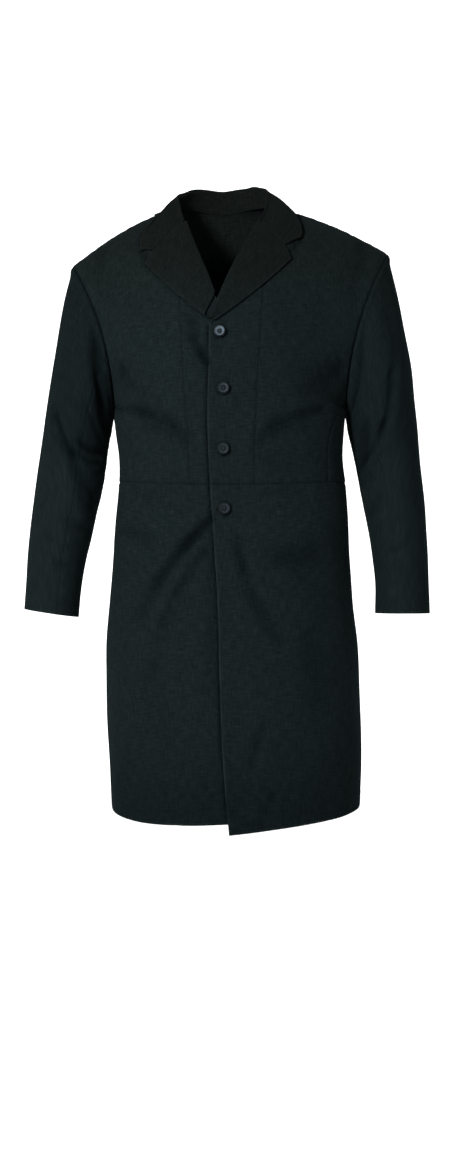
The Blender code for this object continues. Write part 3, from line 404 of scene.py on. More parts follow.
# On the sleeves: ring and degrees round at each end, half sizes in the same units.
SLEEVE_CREASES = {
    RIGHT: (
        (4.40, 54, 5.15, 95, 0.20, 8, 0.0052, 0.7),
        (5.30, 96, 6.35, 150, 0.30, 15, 0.0038, 0.6),
        (4.55, 112, 4.10, 150, 0.22, 12, 0.0046, 0.5),
        (5.00, 112, 4.80, 146, 0.18, 10, 0.0034, 0.5),
        (0.25, 90, 1.60, 128, 0.36, 13, 0.0050, 0.5),
        (1.60, 126, 2.80, 168, 0.40, 17, 0.0040, 0.5),
        (3.00, 120, 3.60, 165, 0.26, 14, 0.0022, 0.5),
        (6.50, 118, 6.90, 165, 0.24, 13, 0.0026, 0.6),
        (7.60, 110, 7.80, 150, 0.20, 12, 0.0016, 0.6),
        (8.40, 66, 8.30, 94, 0.15, 9, 0.0017, 0.7),
        (9.05, 94, 9.35, 122, 0.17, 10, 0.0020, 0.7),
        (1.00, 28, 3.40, 36, 0.50, 8, 0.0012, 0.5),
        (2.5, 240, 4.8, 200, 0.40, 22, 0.0046, 0.5),
        (5.6, 300, 6.8, 220, 0.30, 18, 0.0042, 0.5),
        (7.2, 300, 7.9, 235, 0.24, 14, 0.0030, 0.5),
        (0.4, 262, 1.9, 228, 0.36, 13, 0.0040, 0.5),
    ),
    LEFT: (
        (3.20, 72, 4.60, 98, 0.26, 9, 0.0036, 0.6),
        (4.60, 100, 5.05, 140, 0.24, 12, 0.0036, 0.5),
        (3.70, 134, 5.35, 158, 0.34, 14, 0.0040, 0.5),
        (0.30, 94, 1.30, 140, 0.36, 14, 0.0046, 0.5),
        (1.50, 50, 3.00, 64, 0.44, 9, 0.0013, 0.5),
        (6.10, 110, 6.20, 130, 0.14, 9, 0.0015, 0.7),
        (5.60, 120, 6.00, 160, 0.22, 13, 0.0022, 0.6),
        (6.90, 128, 7.30, 168, 0.20, 13, 0.0020, 0.6),
        (8.60, 68, 8.85, 112, 0.17, 12, 0.0013, 0.6),
        (2.5, 240, 4.8, 205, 0.40, 22, 0.0044, 0.5),
        (5.4, 300, 6.6, 225, 0.30, 18, 0.0042, 0.5),
        (7.0, 305, 7.7, 240, 0.24, 14, 0.0028, 0.5),
        (0.5, 258, 1.7, 226, 0.36, 13, 0.0038, 0.5),
    ),
}
CREASE_GAIN = 1.35        # the fine cloth creases a little more sharply than the plain form


def from_crease(off_u, off_v, run_u, run_v, bend):
    """Share along a bent crease, distance across it and distance past its ends."""
    length = math.hypot(run_u, run_v)
    along = (off_u * run_u + off_v * run_v) / length ** 2
    across = (off_u * run_v - off_v * run_u) / length
    s = np.clip(along, 0.0, 1.0)
    past = np.where(along < 0, -along, np.maximum(along - 1, 0)) * length
    return s, across - bend * 4 * s * (1 - s), past


def crease_depth(creases, x, z):
    """How far the body's creases push the cloth in; they widen and fade along their run."""
    total = np.zeros(np.shape(x))
    for x0, z0, x1, z1, bend, half_width, depth, ridge in creases:
        s, across, past = from_crease(x - x0, z - z0, x1 - x0, z1 - z0, bend)
        half_width = half_width * (0.85 + 0.7 * s)
        away = np.hypot(across, past) / half_width
        beside = np.hypot(across - 2.1 * half_width, past) / (1.2 * half_width)
        uneven = 0.75 + 0.25 * np.cos(5.1 * s + 40 * x0) * np.cos(9.7 * s + 30 * z0)
        uneven = uneven * (1.1 - 0.6 * s)
        total += depth * uneven * (np.exp(-away ** 2) - ridge * 0.5 * np.exp(-beside ** 2))
    return total


def sleeve_crease_depth(side, ring, turn):
    total = np.zeros(np.shape(ring))
    for r0, t0, r1, t1, half_ring, half_turn, depth, ridge in SLEEVE_CREASES[side]:
        _, across, past = from_crease((ring - r0) / half_ring, (turn - t0) / half_turn,
                                      (r1 - r0) / half_ring, (t1 - t0) / half_turn, 0.5)
        away = np.hypot(across, past)
        beside = np.hypot(across - 2.0, past) / 1.2
        total += depth * (np.exp(-away ** 2) - ridge * 0.5 * np.exp(-beside ** 2))
    total *= 1.0 - 0.55 * np.exp(-((turn - 180) / 20) ** 2)
    return CREASE_GAIN * total * ease(ring / 0.7)


# ---- laps at the front and the vent --------------------------------------------------------
UNDERLAP_CLEAR = 0.0010
VENT_LAP = 0.020
LAP_DEPTH = CLOTH + UNDERLAP_CLEAR + 0.0004
LAP_FLAT, LAP_FADE = 0.006, 0.045


def left_edge(face, level):
    front_z = SECTIONS_UP("front_z", level)
    height = front_z + np.minimum(level, 0.0) / HEM * (HEMS.curves["left"][0][1] - front_z)
    return np.where(face == FRONT, FRONT_EDGE("left", height),
                    SECTIONS("back_x", level) - VENT_LAP)


def lap_depth(side, face, level, x):
    if side == LEFT:
        return np.zeros(np.shape(x))
    middle = np.where(face == FRONT, SECTIONS("front_x", level), SECTIONS("back_x", level))
    flat = np.maximum(LAP_FLAT, LAP_FLAT + middle - left_edge(face, level))
    sunk = LAP_DEPTH * (1.0 - ease((middle - x - flat) / LAP_FADE))
    return np.where((face == BACK) & (level > WAIST), 0.0, sunk)


def coat_point(side, face, level, share):
    """The coat's outer surface with its creases and laps, and its outward direction."""
    face, level, share = np.broadcast_arrays(face, np.asarray(level, float), share)
    plain = row_point(side, face, level, share)
    normal = row_normal(side, face, level, share)
    x, z = plain[..., 0], plain[..., 2]
    push = -lap_depth(side, face, level, x)
    depth = CREASE_GAIN * np.where(face == FRONT, crease_depth(FRONT_CREASES, x, z),
                                   crease_depth(BACK_CREASES, x, z))
    push = push - depth * np.where(level < ARMPIT, ease((1 - share) / 0.1), 1)
    push = np.where(level >= ARMPIT, push * ease((1.0 - share) / 0.15), push)
    push = np.where(level >= NECK, push * (SHOULDER - level), push)
    return plain + normal * push[..., None], normal


# ---- fine cloth ----------------------------------------------------------------------------
NEAR_EDGE = (0.0, 0.0008, 0.0018, 0.0032, 0.0052, 0.0080)
SEAM_DEPTH, SEAM_HALF = 0.0010, 0.0024    # the dip of a pressed seam and its half width
PUCKER = 0.00035                          # small ripples beside a seam
EDGE_LIFT, EDGE_LIFT_WIDTH = 0.0024, 0.011    # the over front stands off at its edge
UNEVEN = 0.0007                           # slow unevenness of the whole cloth
RUB_AND_HIGHLIGHT_WIDTH = 0.0020                       # how far in a raw edge is painted pale: rubbing, and a painted highlight on its lit lip
ALL_SEWN = ("low", "in", "out", "high")   # the sides of a piece that seams hold
SHEETS = []                               # name, piece, flat width and length, flat area


def stops(length, cell=CELL):
    """Places from 0 to 1 along a length, closer together next to both ends."""
    near = np.array(NEAR_EDGE)
    count = max(int(round((length - 2 * near[-1]) / cell)), 2)
    inner = near[-1] + (length - 2 * near[-1]) * np.arange(1, count) / count
    return np.concatenate([near, inner, length - near[::-1]]) / length


def run_lengths(points):
    """Running length along each row and along each column of a grid."""
    across = np.linalg.norm(np.diff(points, axis=1), axis=2)
    along = np.linalg.norm(np.diff(points, axis=0), axis=2)
    u, v = np.zeros(points.shape[:2]), np.zeros(points.shape[:2])
    u[:, 1:] = np.cumsum(across, axis=1)
    v[1:, :] = np.cumsum(along, axis=0)
    return u, v


def note_sheet(name, piece, points):
    """Keep a piece's flat size: its longest row, its longest column and its area."""
    u, v = run_lengths(points)
    a = points[1:, 1:] - points[:-1, :-1]
    b = points[1:, :-1] - points[:-1, 1:]
    area = float(0.5 * np.linalg.norm(np.cross(a, b), axis=2).sum())
    SHEETS.append((name, piece, float(u[:, -1].max()), float(v[-1].max()), area))


def slow_noise(p, seed, size=0.09):
    """A smooth uneven height between about -1 and 1 that is the same on every run."""
    rng = np.random.default_rng(seed)
    total = np.zeros(p.shape[:-1])
    for k in range(7):
        way = unit(rng.normal(size=3))
        wave = 2 * math.pi / (size * (0.55 + 0.16 * k))
        total += np.sin((p @ way) * wave + rng.uniform(0, 6.28)) * (0.62 - 0.05 * k)
    return total / 2.2


def refine(points, places, new_places, axis):
    """A smooth curve through control points along one axis of a grid."""
    data = np.moveaxis(points, axis, 0)
    slopes = np.gradient(data, places, axis=0)
    i = np.clip(np.searchsorted(places, new_places) - 1, 0, len(places) - 2)
    h = (places[i + 1] - places[i])[:, None, None]
    s = ((new_places - places[i]) / (places[i + 1] - places[i]))[:, None, None]
    return np.moveaxis(between(data, slopes, i, h, s), 0, axis)


def place_in_scene(name, data):
    item = bpy.data.objects.new(name, data)
    bpy.context.scene.collection.objects.link(item)
    return item


def make_mesh(name, points, faces, material):
    mesh = bpy.data.meshes.new(name)
    mesh.from_pydata(points, [], faces)
    mesh.materials.append(material)
    return place_in_scene(name, mesh)


def point_values(piece, name, values):
    piece.data.attributes.new(name, "FLOAT", "POINT").data.foreach_set("value", values)


def shell(name, outer, inner, material, fold=None, rounded=0.0005, raw=(), rub_and_highlight=1.0):
    """A closed thin wall between two grids, its rim slightly rounded."""
    rows, columns = outer.shape[:2]
    count = rows * columns
    index = np.arange(count).reshape(rows, columns)
    loop = np.concatenate([index[0, :-1], index[:-1, -1], index[-1, :0:-1], index[:0:-1, 0]])
    inward = np.concatenate([index[1, :-1], index[:-1, -2], index[-2, :0:-1], index[:0:-1, 1]])
    flat_out, flat_in = outer.reshape(-1, 3), inner.reshape(-1, 3)
    edge_out = unit(flat_out[loop] - flat_out[inward])
    middle = 0.5 * (flat_out[loop] + flat_in[loop]) + edge_out * rounded
    points = np.concatenate([flat_out, flat_in, middle])
    quads = np.stack([index[:-1, :-1], index[:-1, 1:], index[1:, 1:], index[1:, :-1]],
                     axis=-1).reshape(-1, 4)
    ring = 2 * count + np.arange(len(loop))
    after, ring_after = np.roll(loop, -1), np.roll(ring, -1)
    faces = np.concatenate([quads, quads[:, ::-1] + count,
                            np.stack([after, loop, ring, ring_after], axis=1),
                            np.stack([ring_after, ring, loop + count, after + count], axis=1)])
    a, b, c, d = (points[faces[:, k]] for k in range(4))
    if (a * np.cross(b, c)).sum() + (a * np.cross(c, d)).sum() < 0:
        faces = faces[:, ::-1]
    piece = make_mesh(name + FINE, points.tolist(), faces.tolist(), material)
    mesh = piece.data
    mesh.polygons.foreach_set("use_smooth", np.ones(len(mesh.polygons), dtype=bool))
    mesh["outer_points"] = count
    corner = np.zeros(len(mesh.loops), dtype=np.int32)
    mesh.loops.foreach_get("vertex_index", corner)
    flat_uv = np.stack(run_lengths(outer), axis=-1).reshape(-1, 2)
    uv = np.concatenate([flat_uv, flat_uv, flat_uv[loop]])[corner]
    mesh.uv_layers.new(name="cloth").data.foreach_set("uv", uv.astype(np.float32).ravel())
    # The fold values are painted shade.
    fold = np.zeros(count) if fold is None else np.clip(fold, 0.0, 1.0).ravel()
    # Pale raw edges: part real rubbing, part a painted highlight on the lit lip of the edge.
    wear_and_highlight = np.zeros(outer.shape[:2])
    for away, _ in from_edges(outer, raw):
        wear_and_highlight = np.maximum(wear_and_highlight, np.exp(-(away / RUB_AND_HIGHLIGHT_WIDTH) ** 2))
    wear_and_highlight = rub_and_highlight * (wear_and_highlight * np.clip(0.6 + 0.6 * slow_noise(outer, 71, 0.05), 0, 1)).ravel()
    for kind, values in (("fold", fold), ("wear_and_highlight", wear_and_highlight)):
        point_values(piece, kind, np.concatenate([values, 0 * values, values[loop]]))
    return piece


def draw_in(points, sewn):
    """Let each sewn side reach a hair past the seam, so that no light shows through."""
    moves = {"low": (points[0], points[1]), "high": (points[-1], points[-2]),
             "in": (points[:, 0], points[:, 1]), "out": (points[:, -1], points[:, -2])}
    for side, (edge, beside) in moves.items():
        if side in sewn:
            edge -= unit(beside - edge) * SEAM_TUCK


def from_edges(points, sewn):
    """Distance of every point of a grid from each sewn side, along the cloth."""
    u, v = run_lengths(points)
    ways = {"low": (v, u), "high": (v[-1:] - v, u), "in": (u, v), "out": (u[:, -1:] - u, v)}
    return [ways[side] for side in sewn]


def seam_push(points, sewn, seed):
    push = np.zeros(points.shape[:2])
    for k, (away, along) in enumerate(from_edges(points, sewn)):
        push += SEAM_DEPTH * np.exp(-(away / SEAM_HALF) ** 2)
        ripple = (np.sin(along * 2 * math.pi / 0.021 + seed + k)
                  + 0.6 * np.sin(along * 2 * math.pi / 0.0137 + 2 * seed))
        push += PUCKER * ripple * np.exp(-(away / 0.009) ** 2) * np.minimum(away / 0.002, 1)
    return push


def seam_groove_shade(points, sewn, strength):
    """How much painted shade each point gets in a seam's groove, from 0 to 1."""
    fold = np.zeros(points.shape[:2])
    for side, (away, _) in zip(sewn, from_edges(points, sewn)):
        fold = np.maximum(fold, strength[side] * np.exp(-(away / 0.0020) ** 2))
    return fold


def away_from_line(x, z, line):
    """Distance across the front from each place to a line of corners."""
    best = np.full(np.shape(x), 1.0)
    for (x0, z0), (x1, z1) in zip(line[:-1], line[1:]):
        run_x, run_z = x1 - x0, z1 - z0
        s = np.clip(((x - x0) * run_x + (z - z0) * run_z) / (run_x ** 2 + run_z ** 2), 0, 1)
        best = np.minimum(best, np.hypot(x - x0 - s * run_x, z - z0 - s * run_z))
    return best


# Lines along which an upper layer's edge presses the front in and casts a painted shadow: lapel,
# notch and collar.
PRESSED = {
    RIGHT: ((-0.0300, -0.2020), (-0.0400, -0.1960), (-0.0880, -0.1540), (-0.1346, -0.1069),
            (-0.1330, -0.0990), (-0.1418, -0.0852), (-0.1430, -0.0690), (-0.1415, -0.0520)),
    LEFT: ((-0.0360, -0.2080), (-0.0235, -0.2060), (0.0370, -0.1550), (0.0975, -0.1005),
           (0.0960, -0.0880), (0.1125, -0.0640), (0.1145, -0.0530), (0.1125, -0.0370)),
}
PRESS_DEPTH, PRESS_HALF = 0.0012, 0.0042


def armhole_inward(side, points):
    top, bottom = ring_point(side, 0.0, 0.0), ring_point(side, 0.0, 180.0)
    middle = 0.5 * (top + bottom) - np.array([side * 0.03, 0, 0])
    return unit(middle - points)


# Painted shade: how dark the cloth is painted (1 is the full shade tint) and where.
FOLD_FULL, FOLD_SHADE = 0.008, 0.80           # depth of a full fold, and its painted shade
PRESS_SHADE = 0.85                            # painted shadow beside an upper layer's edge
HEM_SHADE, HEM_FADE = 0.45, 1.5               # painted shade at the hem, fading over these levels
RIM_SHADE, RIM_HALF = 0.9, 0.0017             # painted contact shadow round each button
SEAM_SHADE = {"waist": 0.34, "armhole": 0.6, "across": 0.20, "shoulder": 0.24, "underarm": 0.8,
              "sleeve_head": 0.7}
ROLL_FOOT = -0.215                            # height at which the lapels start to turn
LAP_SIDE = 0.0040                             # half width of the dent and painted shadow beside the over front


def wall_direction(side, level, share, points, normal):
    """The way through the cloth, turned level at the waist and up at the shoulder."""
    flat = unit(normal * np.array([1.0, 1.0, 0.0]))
    normal = unit(normal + (flat - normal) * ease(1 - np.abs(level) / 0.2)[..., None])
    top = np.array([side * 0.35, 0.0, 0.94])
    normal = unit(normal + (top - normal) * ease(1 - (SHOULDER - level) / 0.25)[..., None])
    out = -armhole_inward(side, points)
    near = ease(1 - (1 - share) / 0.06) * (level >= ARMPIT)
    return unit(normal + (out - normal) * near[..., None])


def body_panel(name, side, face, level, share, sewn, material, seed, raw=()):
    """A cut piece of the body from its grid of places on the coat."""
    face, level, share = np.broadcast_arrays(face, level, share)
    points, normal = coat_point(side, face, level, share)
    plain = row_point(side, face, level, share)
    push = seam_push(plain, sewn, seed) + UNEVEN * slow_noise(plain, 5)
    if side == LEFT and "in" not in sewn:
        away = run_lengths(plain)[0]
        push = push - EDGE_LIFT * np.exp(-(away / EDGE_LIFT_WIDTH) ** 2) * (plain[..., 2] < -0.22)
    x, z = plain[..., 0], plain[..., 2]
    front = (face == FRONT) * (level > WAIST) * 1.0
    # Painted shadow along the lapel, notch and collar edges and beside the over front's edge, where
    # the cloth is also dented.
    pressed = front * np.exp(-(away_from_line(x, z, PRESSED[side]) / PRESS_HALF) ** 2)
    if side == RIGHT:
        over_edge = FRONT_EDGE("left", z) - 0.0015
        beside = np.exp(-((x - over_edge) / LAP_SIDE) ** 2) * (z < ROLL_FOOT) * (face == FRONT)
        pressed = np.maximum(pressed, beside)
    push = push + PRESS_DEPTH * pressed
    points = points - normal * push[..., None]
    sunk = dot(plain - points, normal)[..., 0] - lap_depth(side, face, level, x)
    # Painted shade in the seams' grooves, strongest at the armhole and under the arm.
    shade = SEAM_SHADE
    strength = {"low": np.where(level < SIDE_TOP, shade["waist"], shade["armhole"]),
                "in": shade["across"],
                "high": shade["underarm" if "side_body" in name else "shoulder"],
                "out": np.where((level > SIDE_TOP) & (share > 0.9), shade["sleeve_head"],
                                shade["across"])}
    # Painted shade: darker in creases, seam grooves, beside upper layers' edges and towards the
    # hem.
    fold = np.maximum.reduce([FOLD_SHADE * np.clip(sunk / FOLD_FULL, 0, 1),
                              seam_groove_shade(plain, sewn, strength), PRESS_SHADE * pressed,
                              HEM_SHADE * np.exp(-((HEM - level) / HEM_FADE) ** 2)])
    # Painted contact shadow on the cloth round each button.
    if side == LEFT:
        for x0, z0 in BUTTON_PLACES:
            away = np.hypot(x - x0 - 0.0006, z - z0 + 0.0008) + (face != FRONT)
            rim = np.exp(-((away - BUTTON_RADIUS) / RIM_HALF) ** 2)
            fold = np.maximum(fold, RIM_SHADE * rim)
    through = wall_direction(side, level, share, points, normal)
    draw_in(points, sewn)
    piece = shell(name, points, points - through * CLOTH, material, fold,
                  rounded=0.0 if "in" in sewn else 0.0004, raw=raw)
    note_sheet(name, piece, plain)


def fit(start, end, w):
    return start[:, None] + (end - start)[:, None] * w[None, :]


def make_bodice(side, cloth):
    name = SIDE_NAMES[side]
    level = WAIST + (NECK - WAIST) * stops(0.450)
    start = front_edge_share(side, level)
    end = share_on_line(side, level, PRINCESS_SEAM)
    body_panel(f"front_{name}", side, FRONT, level[:, None], fit(start, end, stops(0.075)),
               ("low", "out"), cloth, 3 + side, ("in",))
    level = WAIST + (SHOULDER - WAIST) * stops(0.490)
    start = np.where(level <= NECK, share_on_line(side, level, PRINCESS_SEAM),
                     front_edge_share(side, level))
    end = side_seam_share(FRONT, level)
    body_panel(f"side_front_{name}", side, FRONT, level[:, None],
               fit(start, end, stops(0.130)), ALL_SEWN, cloth, 5 + side)
    start, end = back_neck_share(side, level), side_seam_share(BACK, level)
    body_panel(f"back_{name}", side, BACK, level[:, None], fit(start, end, stops(0.190)),
               ALL_SEWN, cloth, 9 + side)
    up, across = stops(0.165)[:, None], stops(0.160)[None, :]
    inset = np.abs(1 - 2 * across)
    level = up * (ARMPIT + (SIDE_TOP - ARMPIT) * inset)
    face = np.where(across <= 0.5, FRONT, BACK) + 0 * up.astype(int)
    seam = np.where(face == FRONT, side_seam_share(FRONT, up * SIDE_TOP),
                    side_seam_share(BACK, up * SIDE_TOP))
    body_panel(f"side_body_{name}", side, face, level, 1 - (1 - seam) * inset, ALL_SEWN,
               cloth, 13 + side)


def make_skirt(side, cloth):
    level = (WAIST + (HEM - WAIST) * stops(0.545))[:, None]
    edge = front_edge_share(side, level[:, 0])[:, None]
    end = row_point(side, BACK, level, 1.0)[..., 0]
    middle, turn = SECTIONS("back_x", level), np.radians(SECTIONS("back_turn", level))
    lap = np.arcsin(-side * VENT_LAP / (end - middle)) / turn
    across = stops(0.290)
    front = edge + (1 - edge) * across[None, :]
    back = (lap + (1 - lap) * across[None, ::-1])[:, 1:]
    share = np.concatenate([front, back], axis=1)
    face = np.concatenate([np.full(front.shape, FRONT), np.full(back.shape, BACK)], axis=1)
    body_panel(f"skirt_{SIDE_NAMES[side]}", side, face, level + 0 * share, share,
               ("low",), cloth, 21 + side, ("in", "out", "high"))


# ---- sleeves -------------------------------------------------------------------------------
FRONT_SLEEVE_SEAM, BACK_SLEEVE_SEAM = 108.0, 315.0
SLEEVE_LENGTH = 0.640
SLEEVE_PARTS = (          # name, turn at its two seams, width
    ("top", BACK_SLEEVE_SEAM - 360.0, FRONT_SLEEVE_SEAM, 0.210),
    ("under", FRONT_SLEEVE_SEAM, BACK_SLEEVE_SEAM, 0.250),
)
CUFF = 11.0               # ring of the cuff
HEAD_SWELL, HEAD_PLACE, HEAD_HALF = 0.0018, 0.008, 0.006    # beside the armhole seam
SLEEVE_SEAM_PUSH = 0.7    # the sleeves' seams dip less than the body's
SLEEVE_FULL, SLEEVE_SHADE = 0.010, 0.75    # depth of a full fold of a sleeve, and its painted shade
# Painted shade in the grooves of the sleeves' seams.
SLEEVE_SEAM_SHADE = {"low": 0.8, "in": 0.10, "out": 0.10}
ELBOW, ELBOW_FADE = 6.6, 2.2               # ring at which the painted upper shade ends, and its run
UPPER_SHADE = {RIGHT: 0.34, LEFT: 0.10}    # painted shade: how much darker the cloth is painted above the elbow
INNER_SHADE, INNER_TURN, INNER_HALF = 0.26, 165.0, 50.0    # and the painted shade beside the body


def sleeve_places(side, ring, turn):
    low, high = np.maximum(ring - 0.05, 0.0), np.minimum(ring + 0.05, CUFF)
    down = ring_point(side, high, turn) - ring_point(side, low, turn)
    onward = ring_point(side, ring, turn + 1.0) - ring_point(side, ring, turn - 1.0)
    normal = unit(np.cross(onward, down) * side)
    plain = ring_point(side, ring, turn)
    push = sleeve_crease_depth(side, ring, np.mod(turn, 360.0))
    return plain, plain - normal * push[..., None], normal


def make_sleeve(side, cloth):
    for label, start, end, width in SLEEVE_PARTS:
        ring, turn = np.broadcast_arrays(CUFF * stops(SLEEVE_LENGTH)[:, None],
                                         start + (end - start) * stops(width)[None, :])
        plain, points, normal = sleeve_places(side, ring, turn)
        sewn = ("low", "in", "out")
        push = (SLEEVE_SEAM_PUSH * seam_push(plain, sewn, 31 + side)
                + UNEVEN * slow_noise(plain, 37 + side))
        away = run_lengths(plain)[1]
        push = push - HEAD_SWELL * np.exp(-((away - HEAD_PLACE) / HEAD_HALF) ** 2)
        points = points - normal * push[..., None]
        # Painted shade: darker in the sleeve's creases and seam grooves, above the elbow and beside
        # the body.
        sunk = dot(plain - points, normal)[..., 0] / SLEEVE_FULL
        fold = np.maximum(SLEEVE_SHADE * np.clip(sunk, 0, 1),
                          seam_groove_shade(plain, sewn, SLEEVE_SEAM_SHADE))
        inner = np.exp(-((np.mod(turn, 360.0) - INNER_TURN) / INNER_HALF) ** 2)
        upper = ease((ELBOW - ring) / ELBOW_FADE)
        fold = np.clip(fold + (UPPER_SHADE[side] + INNER_SHADE * inner) * upper, 0, 1)
        out = -armhole_inward(side, points)
        near = ease(1 - ring / 0.2)[..., None]
        through = unit(normal + (out - normal) * near)
        draw_in(points, sewn)
        name = f"{label}_sleeve_{SIDE_NAMES[side]}"
        piece = shell(name, points, points - through * CLOTH, cloth, fold, rounded=0.0003,
                      raw=("high",))
        note_sheet(name, piece, plain)


# ---- lapels --------------------------------------------------------------------------------
ROLL_PROFILE = np.array((
    (-0.0005, -0.0016, 0.0000), (-0.0032, -0.0006, 0.0006), (-0.0043, 0.0022, 0.0020),
    (-0.0026, 0.0050, 0.0032), (0.0030, 0.0058, 0.0042),
))
ROLL_HIDDEN_IN = (0.0, 0.0014, 0.0018, 0.0012, 0.0)
LAPEL_SHARES = (0.20, 0.42, 0.62, 0.80, 1.0)
LAPEL_HEIGHTS = (0.0056, 0.0048, 0.0041, 0.0037, 0.0033)
LAPEL_BOW = 0.003
GORGE_TUCK = 0.0035       # how far the lapel reaches under the collar along the gorge
NOTCH = {RIGHT: (-0.1215, -0.0845), LEFT: (0.0865, -0.0765)}
LAPEL_CORNERS = {
    RIGHT: {"roll_top": -0.0368, "roll_low": -0.163, "corner": (-0.1346, -0.1069),
            "low": (-0.0400, -0.1960)},
    LEFT: {"roll_top": -0.0348, "roll_low": -0.203, "corner": (0.0975, -0.1005),
           "low": (-0.0235, -0.2060)},
}


def over_coat(side, face, x, z, height):
    level, share = locate(side, face, x, z)
    point, normal = coat_point(side, np.full(np.shape(level), face), level, share)
    return point + normal * np.asarray(height)[..., None], normal


def on_edge(side, height):
    """The front's rolled edge at given heights, with its outward direction."""
    level = np.linspace(WAIST, NECK, 200)
    point, normal = coat_point(side, np.full(level.shape, FRONT), level,
                               front_edge_share(side, level))
    order = np.argsort(point[:, 2])
    point, normal = point[order], normal[order]
    here = [np.interp(height, point[:, 2], point[:, k]) for k in range(3)]
    facing = [np.interp(height, point[:, 2], normal[:, k]) for k in range(3)]
    return np.stack(here, axis=-1), unit(np.stack(facing, axis=-1))


def make_lapel(side, cloth):
    shape = LAPEL_CORNERS[side]
    corner, low = shape["corner"], shape["low"]
    v = stops(0.16)
    roll_z = shape["roll_low"] + (shape["roll_top"] - shape["roll_low"]) * v
    roll, normal = on_edge(side, roll_z)
    bow = LAPEL_BOW * 4 * v * (1 - v)
    edge_x = low[0] + (corner[0] - low[0]) * v + side * bow
    edge_z = low[1] + (corner[1] - low[1]) * v - bow
    near = over_coat(side, FRONT, roll[:, 0] + 0.1 * (edge_x - roll[:, 0]),
                     roll_z + 0.1 * (edge_z - roll_z), 0.0 * v)[0]
    toward = unit(near - roll)
    outer, inner = [], []
    for (a, h, under), more in zip(ROLL_PROFILE, ROLL_HIDDEN_IN):
        outer.append(roll + toward * a + normal * h)
        inner.append(roll + toward * (a + more) + normal * under)
    notch_x, notch_z = NOTCH[side]
    notch_share = (notch_x - roll[-1, 0]) / (edge_x[-1] - roll[-1, 0])
    rise = notch_z - (roll_z[-1] + (edge_z[-1] - roll_z[-1]) * notch_share)
    for share, height in zip(LAPEL_SHARES, LAPEL_HEIGHTS):
        x = roll[:, 0] + (edge_x - roll[:, 0]) * share
        tent = min(share / notch_share, (1 - share) / (1 - notch_share))
        tuck = GORGE_TUCK * ease((notch_share + 0.02 - share) / 0.10) * ease((v - 0.9) / 0.1)
        z = roll_z + (edge_z - roll_z) * share + rise * tent * ease((v - 0.6) / 0.4) + tuck
        point, up = over_coat(side, FRONT, x, z, height + 0 * v)
        outer.append(point)
        inner.append(point - up * CLOTH)
    outer, inner = np.stack(outer, axis=1), np.stack(inner, axis=1)
    places = np.concatenate([[0], np.cumsum(
        np.linalg.norm(np.diff(outer.mean(axis=0), axis=0), axis=1))])
    fine = places[-1] * np.unique(np.concatenate([
        places / places[-1], stops(places[-1], 0.0036), np.linspace(0, 0.12, 14)]))
    outer = refine(outer, places, fine, 1)
    inner = refine(inner, places, fine, 1)
    wave = 0.0006 * slow_noise(outer, 41 + side, 0.07)[..., None]
    over = ease((fine - places[4]) / 0.02)[None, :, None]
    outer = outer + wave * over
    inner = inner + wave * over
    name = f"lapel_{SIDE_NAMES[side]}"
    piece = shell(name, outer, inner, cloth, rounded=0.0006, raw=("out", "high"),
                  rub_and_highlight=0.5)
    note_sheet(name, piece, outer)


# ---- collar --------------------------------------------------------------------------------
# Stations round the neck, front to back: face and level of the seam, how far the fold is
# inward of it, and the face that the edge of the fall lies on.
NECK_STATIONS = (
    (FRONT, 9.50, 0.000, FRONT),
    (FRONT, 10.0, 0.002, FRONT),
    (FRONT, 10.5, 0.004, FRONT),
    (BACK, 11.0, 0.005, FRONT),
    (BACK, 10.5, 0.006, BACK),
    (BACK, 10.0, 0.006, BACK),
    (BACK, 9.6, 0.007, BACK),
    (BACK, 9.25, 0.008, BACK),
    (BACK, 9.0, 0.008, BACK),
)
# At each station: the fold's height over the seam, and the edge's distance across and height.
COLLAR = {
    RIGHT: (
        (0.0056, -0.1418, -0.0852),
        (0.0110, -0.1430, -0.0690),
        (0.0180, -0.1375, -0.0530),
        (0.0220, -0.1210, -0.0330),
        (0.0250, -0.1125, -0.0265),
        (0.0300, -0.0960, -0.0290),
        (0.0330, -0.0760, -0.0295),
        (0.0345, -0.0450, -0.0280),
        (0.0350, -0.0120, -0.0270),
    ),
    LEFT: (
        (0.0056, 0.1125, -0.0640),
        (0.0105, 0.1145, -0.0530),
        (0.0200, 0.1125, -0.0370),
        (0.0270, 0.1030, -0.0160),
        (0.0305, 0.0950, -0.0180),
        (0.0335, 0.0750, -0.0220),
        (0.0330, 0.0500, -0.0250),
        (0.0345, 0.0200, -0.0270),
        (0.0350, -0.0120, -0.0270),
    ),
}
NECK_MIDDLE = np.array([-0.012, -0.075, 0.0])
FOLD_GAP, FALL_LIFT, FALL_SWELL, FALL_START = 0.0020, 0.0032, 0.0024, 5
BACK_DROP = 0.0010        # how much closer the fall lies over the shoulders and back


def one(value):
    return np.array([value], dtype=float)


